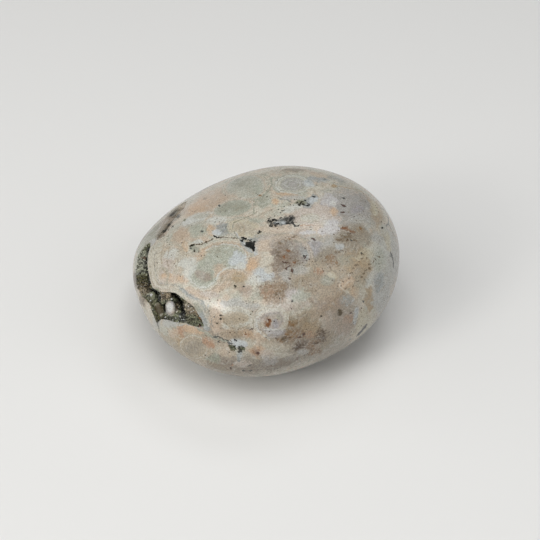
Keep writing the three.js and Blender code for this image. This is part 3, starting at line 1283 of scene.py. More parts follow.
TAUPE_MOSS = Region("taupe moss", (
    Patch(((-86, 60), (-102, 62)), 3, TAUPE, 0.85, True),
    Patch(((-75.6, 67.6), (-85, 67.8)), 0.7, SIENNA, 0.9, True),
    Patch(((-87.6, 67.6), (-96.8, 67.8)), 0.6, UMBER, 0.95, True),
    Patch(((-87, 62.2), (-92.6, 62.6)), 0.7, UMBER, 0.95, True),
    Patch(((-94, 59.8), (-96.6, 59.6)), 0.9, COPPER, 0.95, True),
    Patch(((-98.6, 64.4), (-105.4, 63.4)), 0.8, UMBER, 0.7, True),
    Patch(((-86.4, 55.6), (-93.8, 57.6)), 0.6, UMBER, 0.7, True),
    Patch(((-112, 73.5), (-110, 65.5)), 1.7, SHELL, 0.7),
    Orb(
        ((-87, 58), (-101.5, 62)), 5.7, (Band(0, TAUPE, 0), Band(0.72, FAWN, 0),
        Band(0.82, SHELL, 0.5), Band(0.95, BLUSH, 0.5), Band(1.1, BLUSH, 0)), (0.78, 0.86,
        0.94, 1.02), Band(0.03, SAND, 0.95)),
))

BROWN_CLOUDS = Region("brown clouds", (
    Patch(((-92, 13.5), (-104, 17.5)), 2.4, BROWN, 0.7, True),
    Patch(((-88, 13), (-103, 23)), 3, TAN, 0.75),
    Patch(((-86.5, 1), (-99, 8.5)), 1.5, BROWN, 0.85, True),
    Patch(((-80.5, -3), (-89.5, 13.5)), 2.3, TAN, 0.8),
    Patch(((-110, 31.4), (-110, 28.4)), 0.9, SIENNA, 0.8),
    Patch(((-98, 43), (-112, 46)), 2.5, BROWN, 0.6, True),
    Patch(((-93, 57), (-110, 60)), 3, UMBER, 0.7, True),
    Patch(((-100.2, 61), (-109, 64.6)), 1, BROWN, 0.7, True),
    Patch(((-72, 23), (-85, 34)), 3, FAWN, 0.7),
    Patch(((-71, 7), (-76, 16)), 3.5, PUTTY, 0.6),
    # painted highlight: a pink-white streak where the front light glints
    Patch(((-96.8, 33.4), (-109.4, 36.4)), 0.8, SHELL, 0.7),
    Patch(((-117, 22), (-143, 15)), 3, TAN, 0.7),
    Patch(((-97, -6), (-133, -4)), 2.5, TAUPE, 0.8),
    Patch(((-97, -7.5), (-137.5, -12)), 2.4, UMBER, 0.45),
    Patch(((-116, 25.5), (-140.5, 18.5)), 2.5, TAUPE, 0.4),
    Patch(((-94, 64), (-100, 53)), 3.5, TAUPE, 0.35),
    Patch(((-72, 28), (-80, 35)), 3, OCHRE, 0.35),
    Patch(((-88, 3), (-101, 15)), 3.5, TAUPE, 0.4),
    Patch(((-114, 71.5), (-112, 59.5)), 1.4, BLUSH),
    Patch(((-75.6, 19.4), (-75.4, 16.4)), 0.6, LOAM),
    Patch(((-82.4, 49.4), (-92.2, 51.8)), 1.1, ASH, 0.6),
    Patch(((-66, 43.2), (-69, 48.6)), 1, SIENNA, 0.7, True),
    Patch(((-125, 5), (-146, 10)), 1.9, SAND, 0.6),
))

BROWN_MOSS = Region("brown moss", (
    Patch(((-99.5, 41.5), (-111.5, 46)), 2, TAN, 0.6),
    Patch(((-99.5, 41), (-111.5, 45)), 1.8, SIENNA, 0.65, True),
    Patch(((-102.8, 42.6), (-106.8, 44.2)), 0.9, LOAM, 0.55, True),
    Patch(((-110.2, 45.6),), 1.1, SIENNA, 0.6, True),
    Patch(((-109.5, 54), (-109, 52)), 1.3, ICE, 0.7),
    Patch(((-96.5, 53), (-97.5, 50.5)), 1.4, ASH, 0.7),
    Patch(((-93.4, 39.8), (-98.2, 41.4)), 1.2, PEARL, 0.7),
    Patch(((-88.5, 37), (-95.5, 38)), 1.5, SAGE, 0.8),
    Patch(((-72.4, 38.6), (-78.6, 40)), 1.1, LICHEN, 0.8),
    Patch(((-74, 47.5), (-82, 50.5)), 1.4, SAND, 0.7),
    Patch(((-75.2, 45), (-79.8, 47.2)), 0.8, CLAY, 0.7, True),
    Patch(((-70.8, 38.4), (-73.8, 42.4)), 0.6, BUTTER),
    Patch(((-74.5, 30.5), (-85.5, 37)), 1.5, SAND, 0.6),
    Patch(((-68.8, 25.8), (-70.8, 32.8)), 0.5, CREAM, 0.8),
    Patch(((-63.5, 31), (-71.5, 32.5)), 1.2, APRICOT, 0.7),
    Patch(((-66.5, 26), (-65.5, 21)), 1.2, APRICOT, 0.7),
    Patch(((-56, 28), (-63, 32.5)), 1.6, SAND, 0.8),
    Patch(((-59, 20), (-60.5, 4)), 1.3, OCHRE),
    Patch(((-62.5, 24), (-63.5, 17)), 2, DUNE, 0.6),
    Patch(((-68, 20), (-74.5, 25.5)), 1.2, STEEL, 0.85, True),
    Patch(((-74.4, 27.2), (-75.4, 20.6)), 0.7, FAWN, 0.7),
    Patch(((-70.2, 6.4), (-74, 12)), 1, CLAY, 0.7),
    Patch(((-83, 22), (-93.5, 26.5)), 1.2, TAN, 0.5),
    Patch(((-87, 13), (-93, 19)), 1.4, OCHRE, 0.5),
    Patch(((-88.2, 10.2), (-93.4, 14)), 0.9, CLAY, 0.7, True),
    Patch(((-71.5, -2.5), (-77, 10.5)), 2, FAWN, 0.7),
    Patch(((-98.5, 27), (-99, 24)), 1.3, SIENNA, 0.95, True),
    Patch(((-104.5, 27), (-111.5, 29.5)), 1.3, SHELL, 0.6),
    Patch(((-109.8, 30.8), (-109.8, 26.6)), 0.7, COPPER, 0.95, True),
    Patch(((-109, 27.2), (-110, 26.6)), 0.5, RUST, 0.85),
    Patch(((-106.4, 29), (-106, 24.8)), 0.7, LILAC, 0.95),
    Patch(((-105.2, 21.6), (-111.2, 22.6)), 0.6, PEARL, 0.95),
    Patch(((-102, 21.8), (-106.4, 22)), 0.7, LILAC, 0.8),
    Patch(((-99, 14), (-105, 16.8)), 1.2, SIENNA, 0.95, True),
    Patch(((-100.6, 14.6), (-103.4, 16.2)), 0.7, LOAM, 0.95, True),
    Patch(((-93.4, 14.8), (-101.8, 18.8)), 1.2, SIENNA, 0.95, True),
    Patch(((-94.2, 4.6), (-98.8, 6.8)), 1, BROWN, 0.95, True),
    Patch(((-98.8, 7.8), (-102.2, 11.8)), 1.1, TAN, 0.95, True),
    Patch(((-85.5, 13), (-85, 3)), 1.4, BROWN, 0.95, True),
    Patch(((-85.8, 2.2), (-91.8, 5.2)), 0.7, SIENNA, 0.95, True),
    Patch(((-88.5, -7.5), (-92, 2)), 1.3, SIENNA, 0.95, True),
    Patch(((-85.4, -11.4), (-87, -3.8)), 0.7, SIENNA, 0.85, True),
    Patch(((-92, -3.4), (-96, 1.2)), 0.9, ASH, 0.7),
    Patch(((-99.8, 7.2), (-112, 12)), 1.1, DUNE, 0.7),
    Patch(((-98.8, 0), (-109.8, 5.4)), 0.7, CREAM, 0.6),
    Patch(((-67.2, 13.6), (-69.2, 2)), 0.8, ICE, 0.8),
    Patch(((-65.5, 7.5), (-64.5, -6)), 1.8, BUTTER),
    Patch(((-51.5, 19.5), (-51, 12.5)), 1.6, STEEL),
    Patch(((-52.5, 1), (-55, 11)), 1.4, ASH),
))

LOWER_LEFT = Region("lower left", (
    Patch(((-114.5, 37.5), (-133.5, 38)), 1.5, ASH, 0.85),
    Patch(((-119.6, 46), (-124.4, 46.2)), 1.2, FAWN, 0.8),
    Patch(((-106.6, 44.4), (-112, 45)), 1.2, CLAY, 0.6, True),
    Orb(
        ((-119.5, 31.5), (-133, 28.5)), 2.8, (Band(0, SAND, 0.95), Band(0.3, DUNE, 0.95),
        Band(0.5, OAT, 0.9), Band(0.7, DUNE, 0.9), Band(0.85, CREAM, 0.8),
        Band(1, DUNE, 0.5), Band(1.1, SAND, 0)), (0.3, 0.42, 0.54, 0.64, 0.73, 0.82, 0.91,
        0.99), Band(0.03, MILK, 0.95)),
    Patch(((-124, 29.5), (-128, 29.5)), 1.5, SAND, 0.6),
    Orb(
        ((-104, 30), (-113.5, 27)), 3.6, (Band(0, LILAC, 0), Band(0.3, LILAC, 0.6),
        Band(0.42, SHELL, 0.7), Band(0.6, CREAM, 0.7), Band(0.8, DUNE, 0.7),
        Band(0.95, CREAM, 0.6), Band(1.1, SAND, 0)), (0.45, 0.54, 0.63, 0.72, 0.81, 0.9, 0.99),
        Band(0.03, MILK, 0.95)),
    Patch(((-145.5, 35), (-138.5, 18)), 1.3, STEEL, 0.95),
    Patch(((-147.2, 32.2), (-142.8, 30.6)), 1, LICHEN, 0.8),
    Patch(((-136, 33), (-134.5, 21)), 1.6, PEACH),
    Patch(((-125.4, 21.8), (-132.4, 18.8)), 1, PEACH, 0.8),
    Patch(((-113.4, 21.2), (-123.6, 22.2)), 1, APRICOT, 0.6),
    Patch(((-118.2, 21.6), (-121.8, 21)), 0.4, CLAY, 0.85, True),
    Patch(((-111.5, 19), (-115.5, 19.5)), 1.2, PEACH, 0.7),
    Patch(((-153.5, 14.5), (-160, 7)), 1.3, LICHEN),
    Patch(((-156.5, 8), (-160, -4)), 1.5, OAT),
    Patch(((-151.5, 8), (-155, -0.5)), 1.4, PEACH),
    Patch(((-150, 12), (-151, 3.5)), 1.3, CLAY),
    Patch(((-150.5, 3.5), (-151.5, -5)), 1.2, OCHRE, 0.8),
    Patch(((-140.4, 16), (-149.6, 12.6)), 1, APRICOT, 0.8),
    Orb(
        ((-140, 6), (-147.5, -8.5)), 3, (Band(0, PUTTY, 0.95), Band(0.6, SAND, 0.95),
        Band(0.8, SAND, 0.9), Band(0.9, OAT, 0.8), Band(1, SAND, 0.6),
        Band(1.1, SAND, 0)), (0.84, 0.96), Band(0.04, CREAM, 0.95)),
    Patch(((-134.6, 8), (-139.4, 9.8)), 1.1, CLAY),
    Patch(((-134.6, 9), (-136.4, 7.2)), 0.5, CLAY),
    Patch(((-131, -1.5), (-136, -6)), 1.3, LICHEN, 0.95),
    Patch(((-131.8, -2.2), (-135.2, -5.2)), 0.9, MOSS, 0.7, True),
    Patch(((-128, 9.5), (-130.5, 4.5)), 1.5, PEACH, 0.6),
    Patch(((-119.4, 14.8), (-127.6, 13.8)), 1, ICE, 0.95),
    Patch(((-122.4, 9.4), (-122.6, -1.2)), 0.6, STEEL, 0.95),
    Patch(((-112.5, 8.5), (-116.5, 8.5)), 1.4, APRICOT, 0.95),
    Patch(((-114.6, 9.4), (-115.4, 7.4)), 0.9, COPPER),
    Patch(((-111, 9), (-109.5, 0.5)), 1.3, SHELL, 0.7),
    Patch(((-106.5, -4), (-111.5, -1)), 1.4, LAVENDER, 0.7),
    Patch(((-117, -2.2), (-124, -5)), 1, SHELL, 0.6),
))

RIND_AND_UPPER_CLEFT = Region("rind and upper cleft", (
    Patch(((138, 30.5), (152, 36.5)), 2.1, LOAM, 0.75),
    Patch(((148, 29), (155, 33.5)), 1.4, MOSS, 0.8),
    Patch(((131, 23), (148, 29)), 5.5, PUTTY, 0.95),
    Patch(((144, 17), (156, 28)), 3, LICHEN, 0.95),
    Patch(((151, 20), (176.5, 14)), 1.9, SAGE),
    Patch(((154.4, 29.4), (158.2, 33.8)), 1.2, ASH, 0.95),
    Patch(((127, 23), (139, 34.5)), 2, FAWN, 0.8),
    Patch(((124.5, 23.5), (136, 38.5)), 1.6, LOAM, 0.95, True),
    Patch(((124, 21), (133, 34)), 1.2, PEAT, 0.8),
    Patch(((133.6, 38.2), (139.2, 43.6)), 0.6, OLIVE, 0.95, True),
    Patch(((140.5, 39), (156, 38)), 1.3, LOAM, 0.95, True),
    Patch(((138, 21.5), (147, 28.5)), 1.5, MOSS, 0.7),
    Patch(((170, -26.5), (-167.5, 24)), 1.6, MOSS, 0.6),
    Patch(((-159, 24), (175, -32.5)), 1.5, SAGE, 0.95),
    Seam(((129.8, 22.2), (135.8, 22.4), (141.6, 21.2)), 0.12, LOAM, 0.85),
    Seam(((136.8, 42.4), (142, 40.6), (150.8, 40), (154.4, 35)), 0.13, LOAM, 0.8),
    Seam(((132, 35.6), (137.2, 34.4)), 0.12, PEAT, 0.8),
    Specks(PEAT, 0.95, (
        (((142.2, 37.2), (145.2, 39.6)), 0.34), (((147.4, 38), (149.6, 39.4)), 0.28),
        (((147.4, 42.8), (149.2, 43.6)), 0.28), (((135.6, 40), (138, 41.8)), 0.44),
        (((125.4, 19.2), (128.8, 26)), 0.36),
    )),
    Specks(BLACK, 0.95, ((((130.2, 29.2), (132.4, 32.6)), 0.32),)),
))

PALE_CLOUDS = Region("pale clouds", (
    Patch(((-109.5, 63), (-109.5, 56)), 1.5, CREAM, 0.85),
    Patch(((101, 77), (105.5, 55)), 2.1, OAT, 0.7),
    Patch(((89.5, 53), (87.5, 66)), 2, OAT, 0.6),
    Patch(((162.5, 36), (-173.5, 28)), 1.9, CREAM, 0.85),
    # lightens the lower right edge: partly the rim's pale colour, partly painted light
    Patch(((-54.4, -22), (-60, -23.6)), 0.2, ASH),
    Patch(((-121.6, 21.8), (-132.2, 18.6)), 1, TAN, 0.7),
    Patch(((-102.6, 20), (-109.4, 20.6)), 1, LILAC, 0.7),
    Patch(((-98.5, 42.5), (-111.5, 45.5)), 2.1, FAWN, 0.35),
    # painted shade: a grey-beige line where the cleft's upper lip curves in
    Seam(((-172.8, 28.2), (-166.4, 29.6), (-161, 34.2), (-154.8, 34.6)), 0.29, PUTTY, 0.85),
    Seam(
        ((-150.2, 41), (-145, 43.4), (-142.2, 47.6), (-142.2, 52.6), (-137.8, 56), (-130.8, 56)), 0.22,
        MILK, 0.85),
    Seam(
        ((-148.2, 39.6), (-142.4, 42.4), (-139.2, 47), (-138.8, 51.6), (-134.4, 54.8)), 0.16, TAN,
        0.6),
    Seam(
        ((-132.8, 31.2), (-130.4, 26.6), (-127.2, 24.4), (-123.6, 24.2), (-119.2, 27)), 0.13, TAN,
        0.85),
    Seam(
        ((-112.4, 35.6), (-115, 31.6), (-114.8, 25.6), (-112.4, 21.2), (-108.8, 16.8)), 0.16, MILK,
        0.85),
    Seam(((-111, 34), (-113.2, 29.6), (-113, 24.4), (-110.2, 20.2)), 0.13, PUTTY, 0.7),
    Seam(((-114.4, 37), (-117, 32.2), (-116.4, 25.6)), 0.13, PUTTY, 0.6),
    Seam(((163.8, 41.2), (173.8, 38.4), (-177.8, 36.2), (-169.6, 36.4)), 0.17, SAND, 0.8),
    Seam(((170.8, 44.4), (179, 41), (-173, 39)), 0.15, TAN, 0.6),
    Seam(((157.8, 37.2), (168.4, 35.4), (179.2, 33), (-171.6, 32)), 0.13, DUNE, 0.8),
))

SEAMS = Region("seams", (
    Seam(
        ((69.2, 63), (68.6, 71.2), (75.2, 77.8), (105.2, 80.2), (135.6, 83), (-181, 83.8)), 0.21,
        LICHEN, 0.8),
    Seam(((-181, 83.8), (-178.2, 78.8), (-179.2, 74.2)), 0.13, MOSS, 0.8),
    Seam(((-179.2, 74.2), (-164.4, 72.4), (-148.2, 70.4)), 0.12, SLATE, 0.6),
    Seam(
        ((-179.2, 53.6), (-178.2, 56.2), (-173.8, 58.2), (-172, 61.4), (-171.2, 64)), 0.17, BROWN,
        0.9),
    Seam(
        ((-176, 65), (-169.2, 65.4), (-163.8, 67.4), (-156.4, 69.2), (-147.8, 70.2), (-140, 69.8)), 0.12,
        BROWN, 0.85),
    Seam(((-158.2, 72.4), (-144.8, 70.2), (-132.2, 67.8), (-123.2, 64.4)), 0.12, ICE, 0.8),
    Seam(
        ((137.2, 43.4), (145, 42.2), (151.6, 39.4), (156.2, 36.2), (162, 33.6), (168, 31.4)), 0.13,
        FAWN, 0.7),
    Seam(((79.2, 55.4), (70.8, 62.2), (68, 71.2), (75, 77), (97.4, 81.8)), 0.18, LICHEN, 0.8),
    Seam(((37.6, 82), (17.2, 80.8), (-4.8, 79.2)), 0.15, SLATE, 0.85),
    Seam(((-63, 71.8), (-57.2, 69.4), (-52.8, 66.4)), 0.12, CLAY, 0.85),
    Seam(((13.8, 56), (9, 52.6), (7.2, 46.6), (5, 41)), 0.16, OCHRE, 0.7),
    Seam(((-34.4, 54.4), (-29.2, 50.6), (-27, 45.2), (-27.8, 41)), 0.12, MILK, 0.6),
    Seam(((-5.2, 29.6), (-10, 27.4), (-18.2, 29.2), (-22.8, 32)), 0.22, SLATE),
    Seam(((-18.2, 29.2), (-21.2, 24.6), (-23, 19.4)), 0.21, SLATE, 0.85),
    Seam(((-35.2, 22.6), (-36.2, 16.8), (-38.2, 12.2)), 0.33, COAL, 0.95),
    Seam(((-62, -8.4), (-63.4, -10.8), (-65.8, -13.2)), 0.79, BLACK, 0.95),
    Seam(((-69, -12.4), (-71.2, -12.4)), 0.17, SLATE, 0.8),
    Seam(((-112, 25), (-108.8, 24), (-104.8, 23.4)), 0.12, WHITE, 0.8),
    Seam(((-110.4, 4.2), (-106, -0.2), (-101.2, -0.2)), 0.12, CREAM, 0.7),
    Seam(((-67.2, 13.4), (-67.6, 7.2), (-69.2, 0.2)), 0.12, STEEL, 0.7),
    Seam(((-71.8, 34.4), (-70.8, 30), (-69.8, 26)), 0.12, CREAM, 0.7),
    Seam(((-164, 3.6), (-162.4, -0.6), (-163.2, -11.8)), 0.12, COAL, 0.8),
    Seam(
        ((-153.8, 9.6), (-149.2, 16.2), (-144.4, 17.4), (-139.6, 17.2), (-135.6, 15.2)), 0.12, ASH,
        0.8),
    Seam(
        ((-143.2, 16.4), (-139.6, 16.4), (-136, 14.8), (-132.4, 14.6), (-128.2, 14.2)), 0.29, LICHEN,
        0.9),
    Seam(((-135.6, 14.6), (-132.8, 16.2), (-129.8, 15.2), (-127.6, 14.8)), 0.16, COAL),
    Seam(((-131, 27), (-128.2, 25), (-124.8, 24.4), (-120.4, 25.6), (-118.2, 28.2)), 0.12, TAN, 0.7),
    Seam(
        ((178.8, 28.4), (-177.2, 26), (-172.4, 25.4), (-167.2, 28.4), (-163, 32.6), (-158.8, 34.2)), 0.12,
        FAWN, 0.8),
    Seam(((179.8, 30.6), (-176.4, 28.4), (-172, 28.2), (-167.6, 31)), 0.12, SAND, 0.7),
    Seam(((-158, 35.2), (-153.6, 34.6), (-149, 34.4)), 0.12, ASH, 0.8),
))

PEPPER = Region("pepper", (
    Pepper(((-34.5, 34.5), (-40.5, 32)), 1.7, SLATE, 0.8),
    Pepper(((-58, 27), (-64, 32)), 2.5, BROWN, 0.85),
    Pepper(((-26, 77.5), (-51, 84.5)), 2, COAL, 0.85),
    Pepper(((-90, 59),), 3, BROWN, 0.6),
    Pepper(((-43.5, 48.5), (-53, 54)), 2.2, UMBER, 0.7),
    Pepper(((-128, 51), (-134, 50)), 3, TAN, 0.8),
    Pepper(((-83, 4), (-99, 19)), 3, UMBER, 0.8),
    Pepper(((-138, 74), (172, 61)), 2.5, LICHEN, 0.8),
    Pepper(((-133.5, 28.5), (-137, 20)), 2.5, SLATE, 0.5),
    Pepper(((-95, 41), (-111, 44)), 2.5, SIENNA, 0.7),
    Pepper(((22, 62), (33, 69)), 3, SLATE, 0.6),
))

DASHES_AND_DOTS = Region("dashes and dots", (
    Specks(BLACK, 0.95, (
        (((-123.6, 67.2), (-132, 69.8)), 0.44), (((-125.8, 68.6), (-123.4, 65.8)), 0.38),
        (((-130.2, 69.2), (-135.2, 69.2)), 0.32), (((-137.2, 71.2), (-144.4, 71.2)), 0.24),
        (((-130, 70.8), (-135, 71)), 0.22), (((-138.8, 69.4), (-142.2, 69.6)), 0.16),
        (((-123.4, 66.4), (-122.6, 65)), 0.16), (((-168.8, 65.4), (-175.6, 64.8)), 0.22),
        (((-167.8, 66), (-170, 65.4)), 0.22), (((-173, 54.4), (-171.4, 54.4)), 0.24),
        (((-122.8, 75.8),), 0.32), (((-124, 75.2),), 0.18), (((-70.8, 77.2), (-79.4, 77.8)), 0.54),
        (((-66.4, 73), (-65.6, 75.8)), 0.34), (((-63.4, 71.4), (-67.8, 73.6)), 0.18),
        (((-68.6, 81.2), (-75.4, 81.4)), 0.24), (((-91.2, 81.4), (-96.2, 82.6)), 0.18),
        (((-86.8, 81.2),), 0.18), (((-93, 78.2),), 0.3), (((-121.2, 76),), 0.24),
        (((-5.2, 73.8),), 0.28), (((-16.6, 72.6), (-19.4, 74)), 0.3),
        (((-18.6, 73.8), (-18.4, 74.6)), 0.22), (((-1.6, 69), (2.2, 70)), 0.24),
        (((-25.2, 33.6), (-26.8, 35.2)), 0.24), (((-80.4, 56.8), (-82, 56.6)), 0.14),
        (((-103, 40.2),), 0.18), (((-97, 37.2),), 0.24), (((-84.6, 22.4), (-84.4, 21.4)), 0.2),
        (((-123, 48), (-124, 47.8)), 0.2), (((-124, 16), (-125.6, 17.2)), 0.22),
    )),
    Specks(PEAT, 0.95, (
        (((-177, 55.8), (-179.8, 53.6)), 0.36), (((-6.6, 75), (-14, 77.4)), 0.28),
        (((-9.6, 76.6), (-19, 76.8)), 0.22), (((-15, 74.6), (-14, 75.8)), 0.3),
        (((-4.2, 77.4), (-9.8, 77.6)), 0.2), (((-128.8, 47.6),), 0.26),
        (((-132.4, 31), (-133.6, 30.8)), 0.2), (((-132.8, 28.6),), 0.26), (((-134.2, 25.4),), 0.24),
        (((-122, 10.6),), 0.66), (((-121.6, 9.2), (-123.4, 7.6)), 0.32),
    )),
    Specks(COAL, 0.9, (
        (((-176, 54), (-177.6, 53.4)), 0.22), (((-179.6, 71), (-177, 71)), 0.2),
        (((171.8, 61.4), (170.4, 60.6)), 0.24), (((135.8, 66.2), (132.8, 64.8)), 0.26),
        (((-75.2, 79.8),), 0.3), (((-12.8, 72.6), (-17.8, 72.8)), 0.2),
        (((-34.4, 82.8), (-40, 83.8)), 0.22), (((-6.8, 55.8), (-6.6, 57)), 0.24),
        (((-48, 47), (-48.6, 48.2)), 0.2), (((-50.6, 38.4), (-51.4, 39)), 0.2),
        (((-62.8, 13.4), (-63.6, 15.4)), 0.22), (((-126, 13.4), (-128.4, 13.4)), 0.26),
        (((-132.4, 12.8), (-133.2, 12)), 0.22), (((-116.8, -4.4), (-118.8, -5.4)), 0.2),
        (((-119.2, -11.2), (-120.8, -12)), 0.26), (((-116.6, -11.4), (-117.8, -11.2)), 0.28),
    )),
    Specks(MOSS, 0.9, ((((146.2, 50.2), (143.4, 48.2)), 0.26),)),
    Specks(TAN, 0.75, (
        (((118.6, 46.4), (121.2, 50.4)), 0.46), (((-110.2, 46.6), (-110.2, 44.8)), 0.44),
    )),
    Specks(SIENNA, 0.85, (
        (((89.6, 78.8), (91.4, 77.8)), 0.3), (((-65.2, 45.4), (-66.2, 44)), 0.34),
        (((-35.6, 46.8), (-37.2, 46.2)), 0.24),
    )),
    Specks(TAUPE, 0.85, ((((-104, 63.8),), 0.64), (((-127.4, 7), (-128.6, 6.2)), 0.16),)),
    Specks(SLATE, 0.85, (
        (((25.8, 55.2), (24.2, 57)), 0.3), (((-35.4, 19), (-37.6, 21.4)), 0.18),
        (((-121.8, -0.4), (-123.2, -1)), 0.24),
    )),
    Specks(BLOOD, 0.85, (
        (((-18.4, 56.2), (-16.6, 58.2)), 0.36), (((-25.8, 56.4), (-26.8, 58.6)), 0.28),
        (((-65.8, 60.2), (-66.2, 62.6)), 0.22), (((-93.4, 56.6), (-98.6, 58.2)), 0.16),
        (((-92, 55), (-97.4, 54)), 0.14), (((-95.6, 54.2), (-97, 53.8)), 0.14),
        (((-92.6, 53.6), (-93.4, 51.4)), 0.14), (((-79, 56.6), (-82, 55.2)), 0.18),
        (((-95.6, 48.6),), 0.26), (((-92.2, 52.8), (-92.8, 51)), 0.14),
        (((-70, 11.6), (-71.4, 13.2)), 0.14), (((-97.6, 32.8), (-98.4, 34.6)), 0.14),
        (((-93.6, 14.6),), 0.36), (((-94.4, 13.2), (-96.6, 14)), 0.14),
        (((-108.4, 29.4), (-109.6, 29.8)), 0.28), (((-116.4, 25.4), (-118.2, 25)), 0.14),
        (((-114.2, 7.4),), 0.34), (((-126, -9.2), (-126, -11.6)), 0.2),
    )),
    Specks(UMBER, 0.8, (
        (((-75.8, 68.2), (-81.2, 68.2)), 0.24), (((-94, 67.8), (-96.8, 67.6)), 0.2),
        (((-52.4, 28.4), (-53.6, 29.4)), 0.24), (((-70, 44), (-71.4, 44.2)), 0.24),
        (((-104.8, 44), (-104.8, 42.4)), 0.24), (((-100.6, 43.8), (-101, 43)), 0.18),
        (((-70.8, 44.2),), 0.3), (((-52.4, 28.6), (-53.6, 29.6)), 0.22),
        (((-56.8, 29.2), (-57.8, 29.6)), 0.22), (((-71.2, 34.4), (-71.8, 35)), 0.16),
        (((-68.2, 33.6), (-69.4, 33.8)), 0.18), (((-65, 32.8), (-66, 34)), 0.16),
        (((-62.6, 35), (-63.4, 35.2)), 0.16), (((-59.8, 35.6), (-60.8, 36.6)), 0.16),
        (((-57.4, 36.4), (-59.2, 36.8)), 0.16), (((-55, 36.4), (-55.6, 37)), 0.16),
        (((-52, 36.4), (-53.4, 36.8)), 0.18), (((-50.2, 37.2), (-51.4, 38.6)), 0.18),
        (((-64.8, 27.8), (-65.6, 28)), 0.18), (((-61.2, 27.8), (-62.4, 29)), 0.16),
        (((-58.2, 28.4), (-59.8, 29)), 0.16), (((-56.6, 28.8), (-57.4, 29.6)), 0.16),
        (((-52.4, 28.8), (-53.6, 29.4)), 0.16), (((-50.6, 29.8), (-52, 31.4)), 0.16),
        (((-48, 29.4), (-49, 30)), 0.18), (((-43.4, 28), (-44.6, 29.4)), 0.16),
        (((-54.4, 29.4), (-56, 30)), 0.18), (((-70.4, 32.2), (-71, 32.8)), 0.16),
        (((-68.8, 29.2), (-69.8, 29.6)), 0.16), (((-56.4, 35.2), (-57.6, 36.6)), 0.16),
        (((-49.8, 34), (-50.8, 34.4)), 0.18), (((-60.6, 40.8), (-61.4, 41.6)), 0.18),
        (((-89.6, -3.4), (-90.8, 0.2)), 0.22), (((-86, -9.4), (-86.6, -4.4)), 0.18),
    )),
    Specks(RUST, 0.85, (
        (((-88.4, 62.4), (-91.2, 62.6)), 0.32), (((-95.4, 61), (-95.6, 59.4)), 0.26),
        (((-88.6, 55.8), (-90.4, 55.6)), 0.2), (((-41.2, 53), (-42.8, 55)), 0.36),
        (((-41.6, 49), (-42.8, 50.8)), 0.2), (((-109.6, 26.6),), 0.34),
        (((-108.2, 29.2), (-109.4, 29.2)), 0.26), (((-109.8, 27),), 0.38),
        (((-119.4, 21.8), (-120.6, 21.6)), 0.2),
    )),
    Specks(BROWN, 0.85, (
        (((-49.2, 48.6), (-50.4, 49.8)), 0.16), (((-52, 51.8), (-53.6, 52.6)), 0.16),
        (((-43.8, 49.6), (-45.2, 51.2)), 0.14), (((-75.6, 16.8),), 0.38), (((-106, 17.6),), 0.32),
        (((-101.4, 17.2), (-102.6, 17.2)), 0.2), (((-99.4, 15.2), (-100.2, 15.6)), 0.2),
        (((-95.2, 4.6), (-97.8, 4.6)), 0.4), (((-94.6, 5.4), (-96, 6.8)), 0.18),
        (((-87.4, 2.6), (-90.2, 4.2)), 0.22), (((-87, 2.2), (-88, 3.6)), 0.22),
    )),
    Specks(LOAM, 0.95, ((((-75.6, 19.6), (-75.4, 16.2)), 0.52),)),
    Specks(STEEL, 0.9, ((((-140.4, 34.2),), 0.3),)),
    Specks(OLIVE, 0.95, ((((-125, 9.2), (-127, 10)), 0.48),)),
    Specks(CLAY, 0.9, ((((-124.8, -5), (-125.8, -6.8)), 0.18),)),
    Specks(BLUSH, 0.9, ((((-143.6, 8.2), (-145.8, 8)), 0.14),)),
))

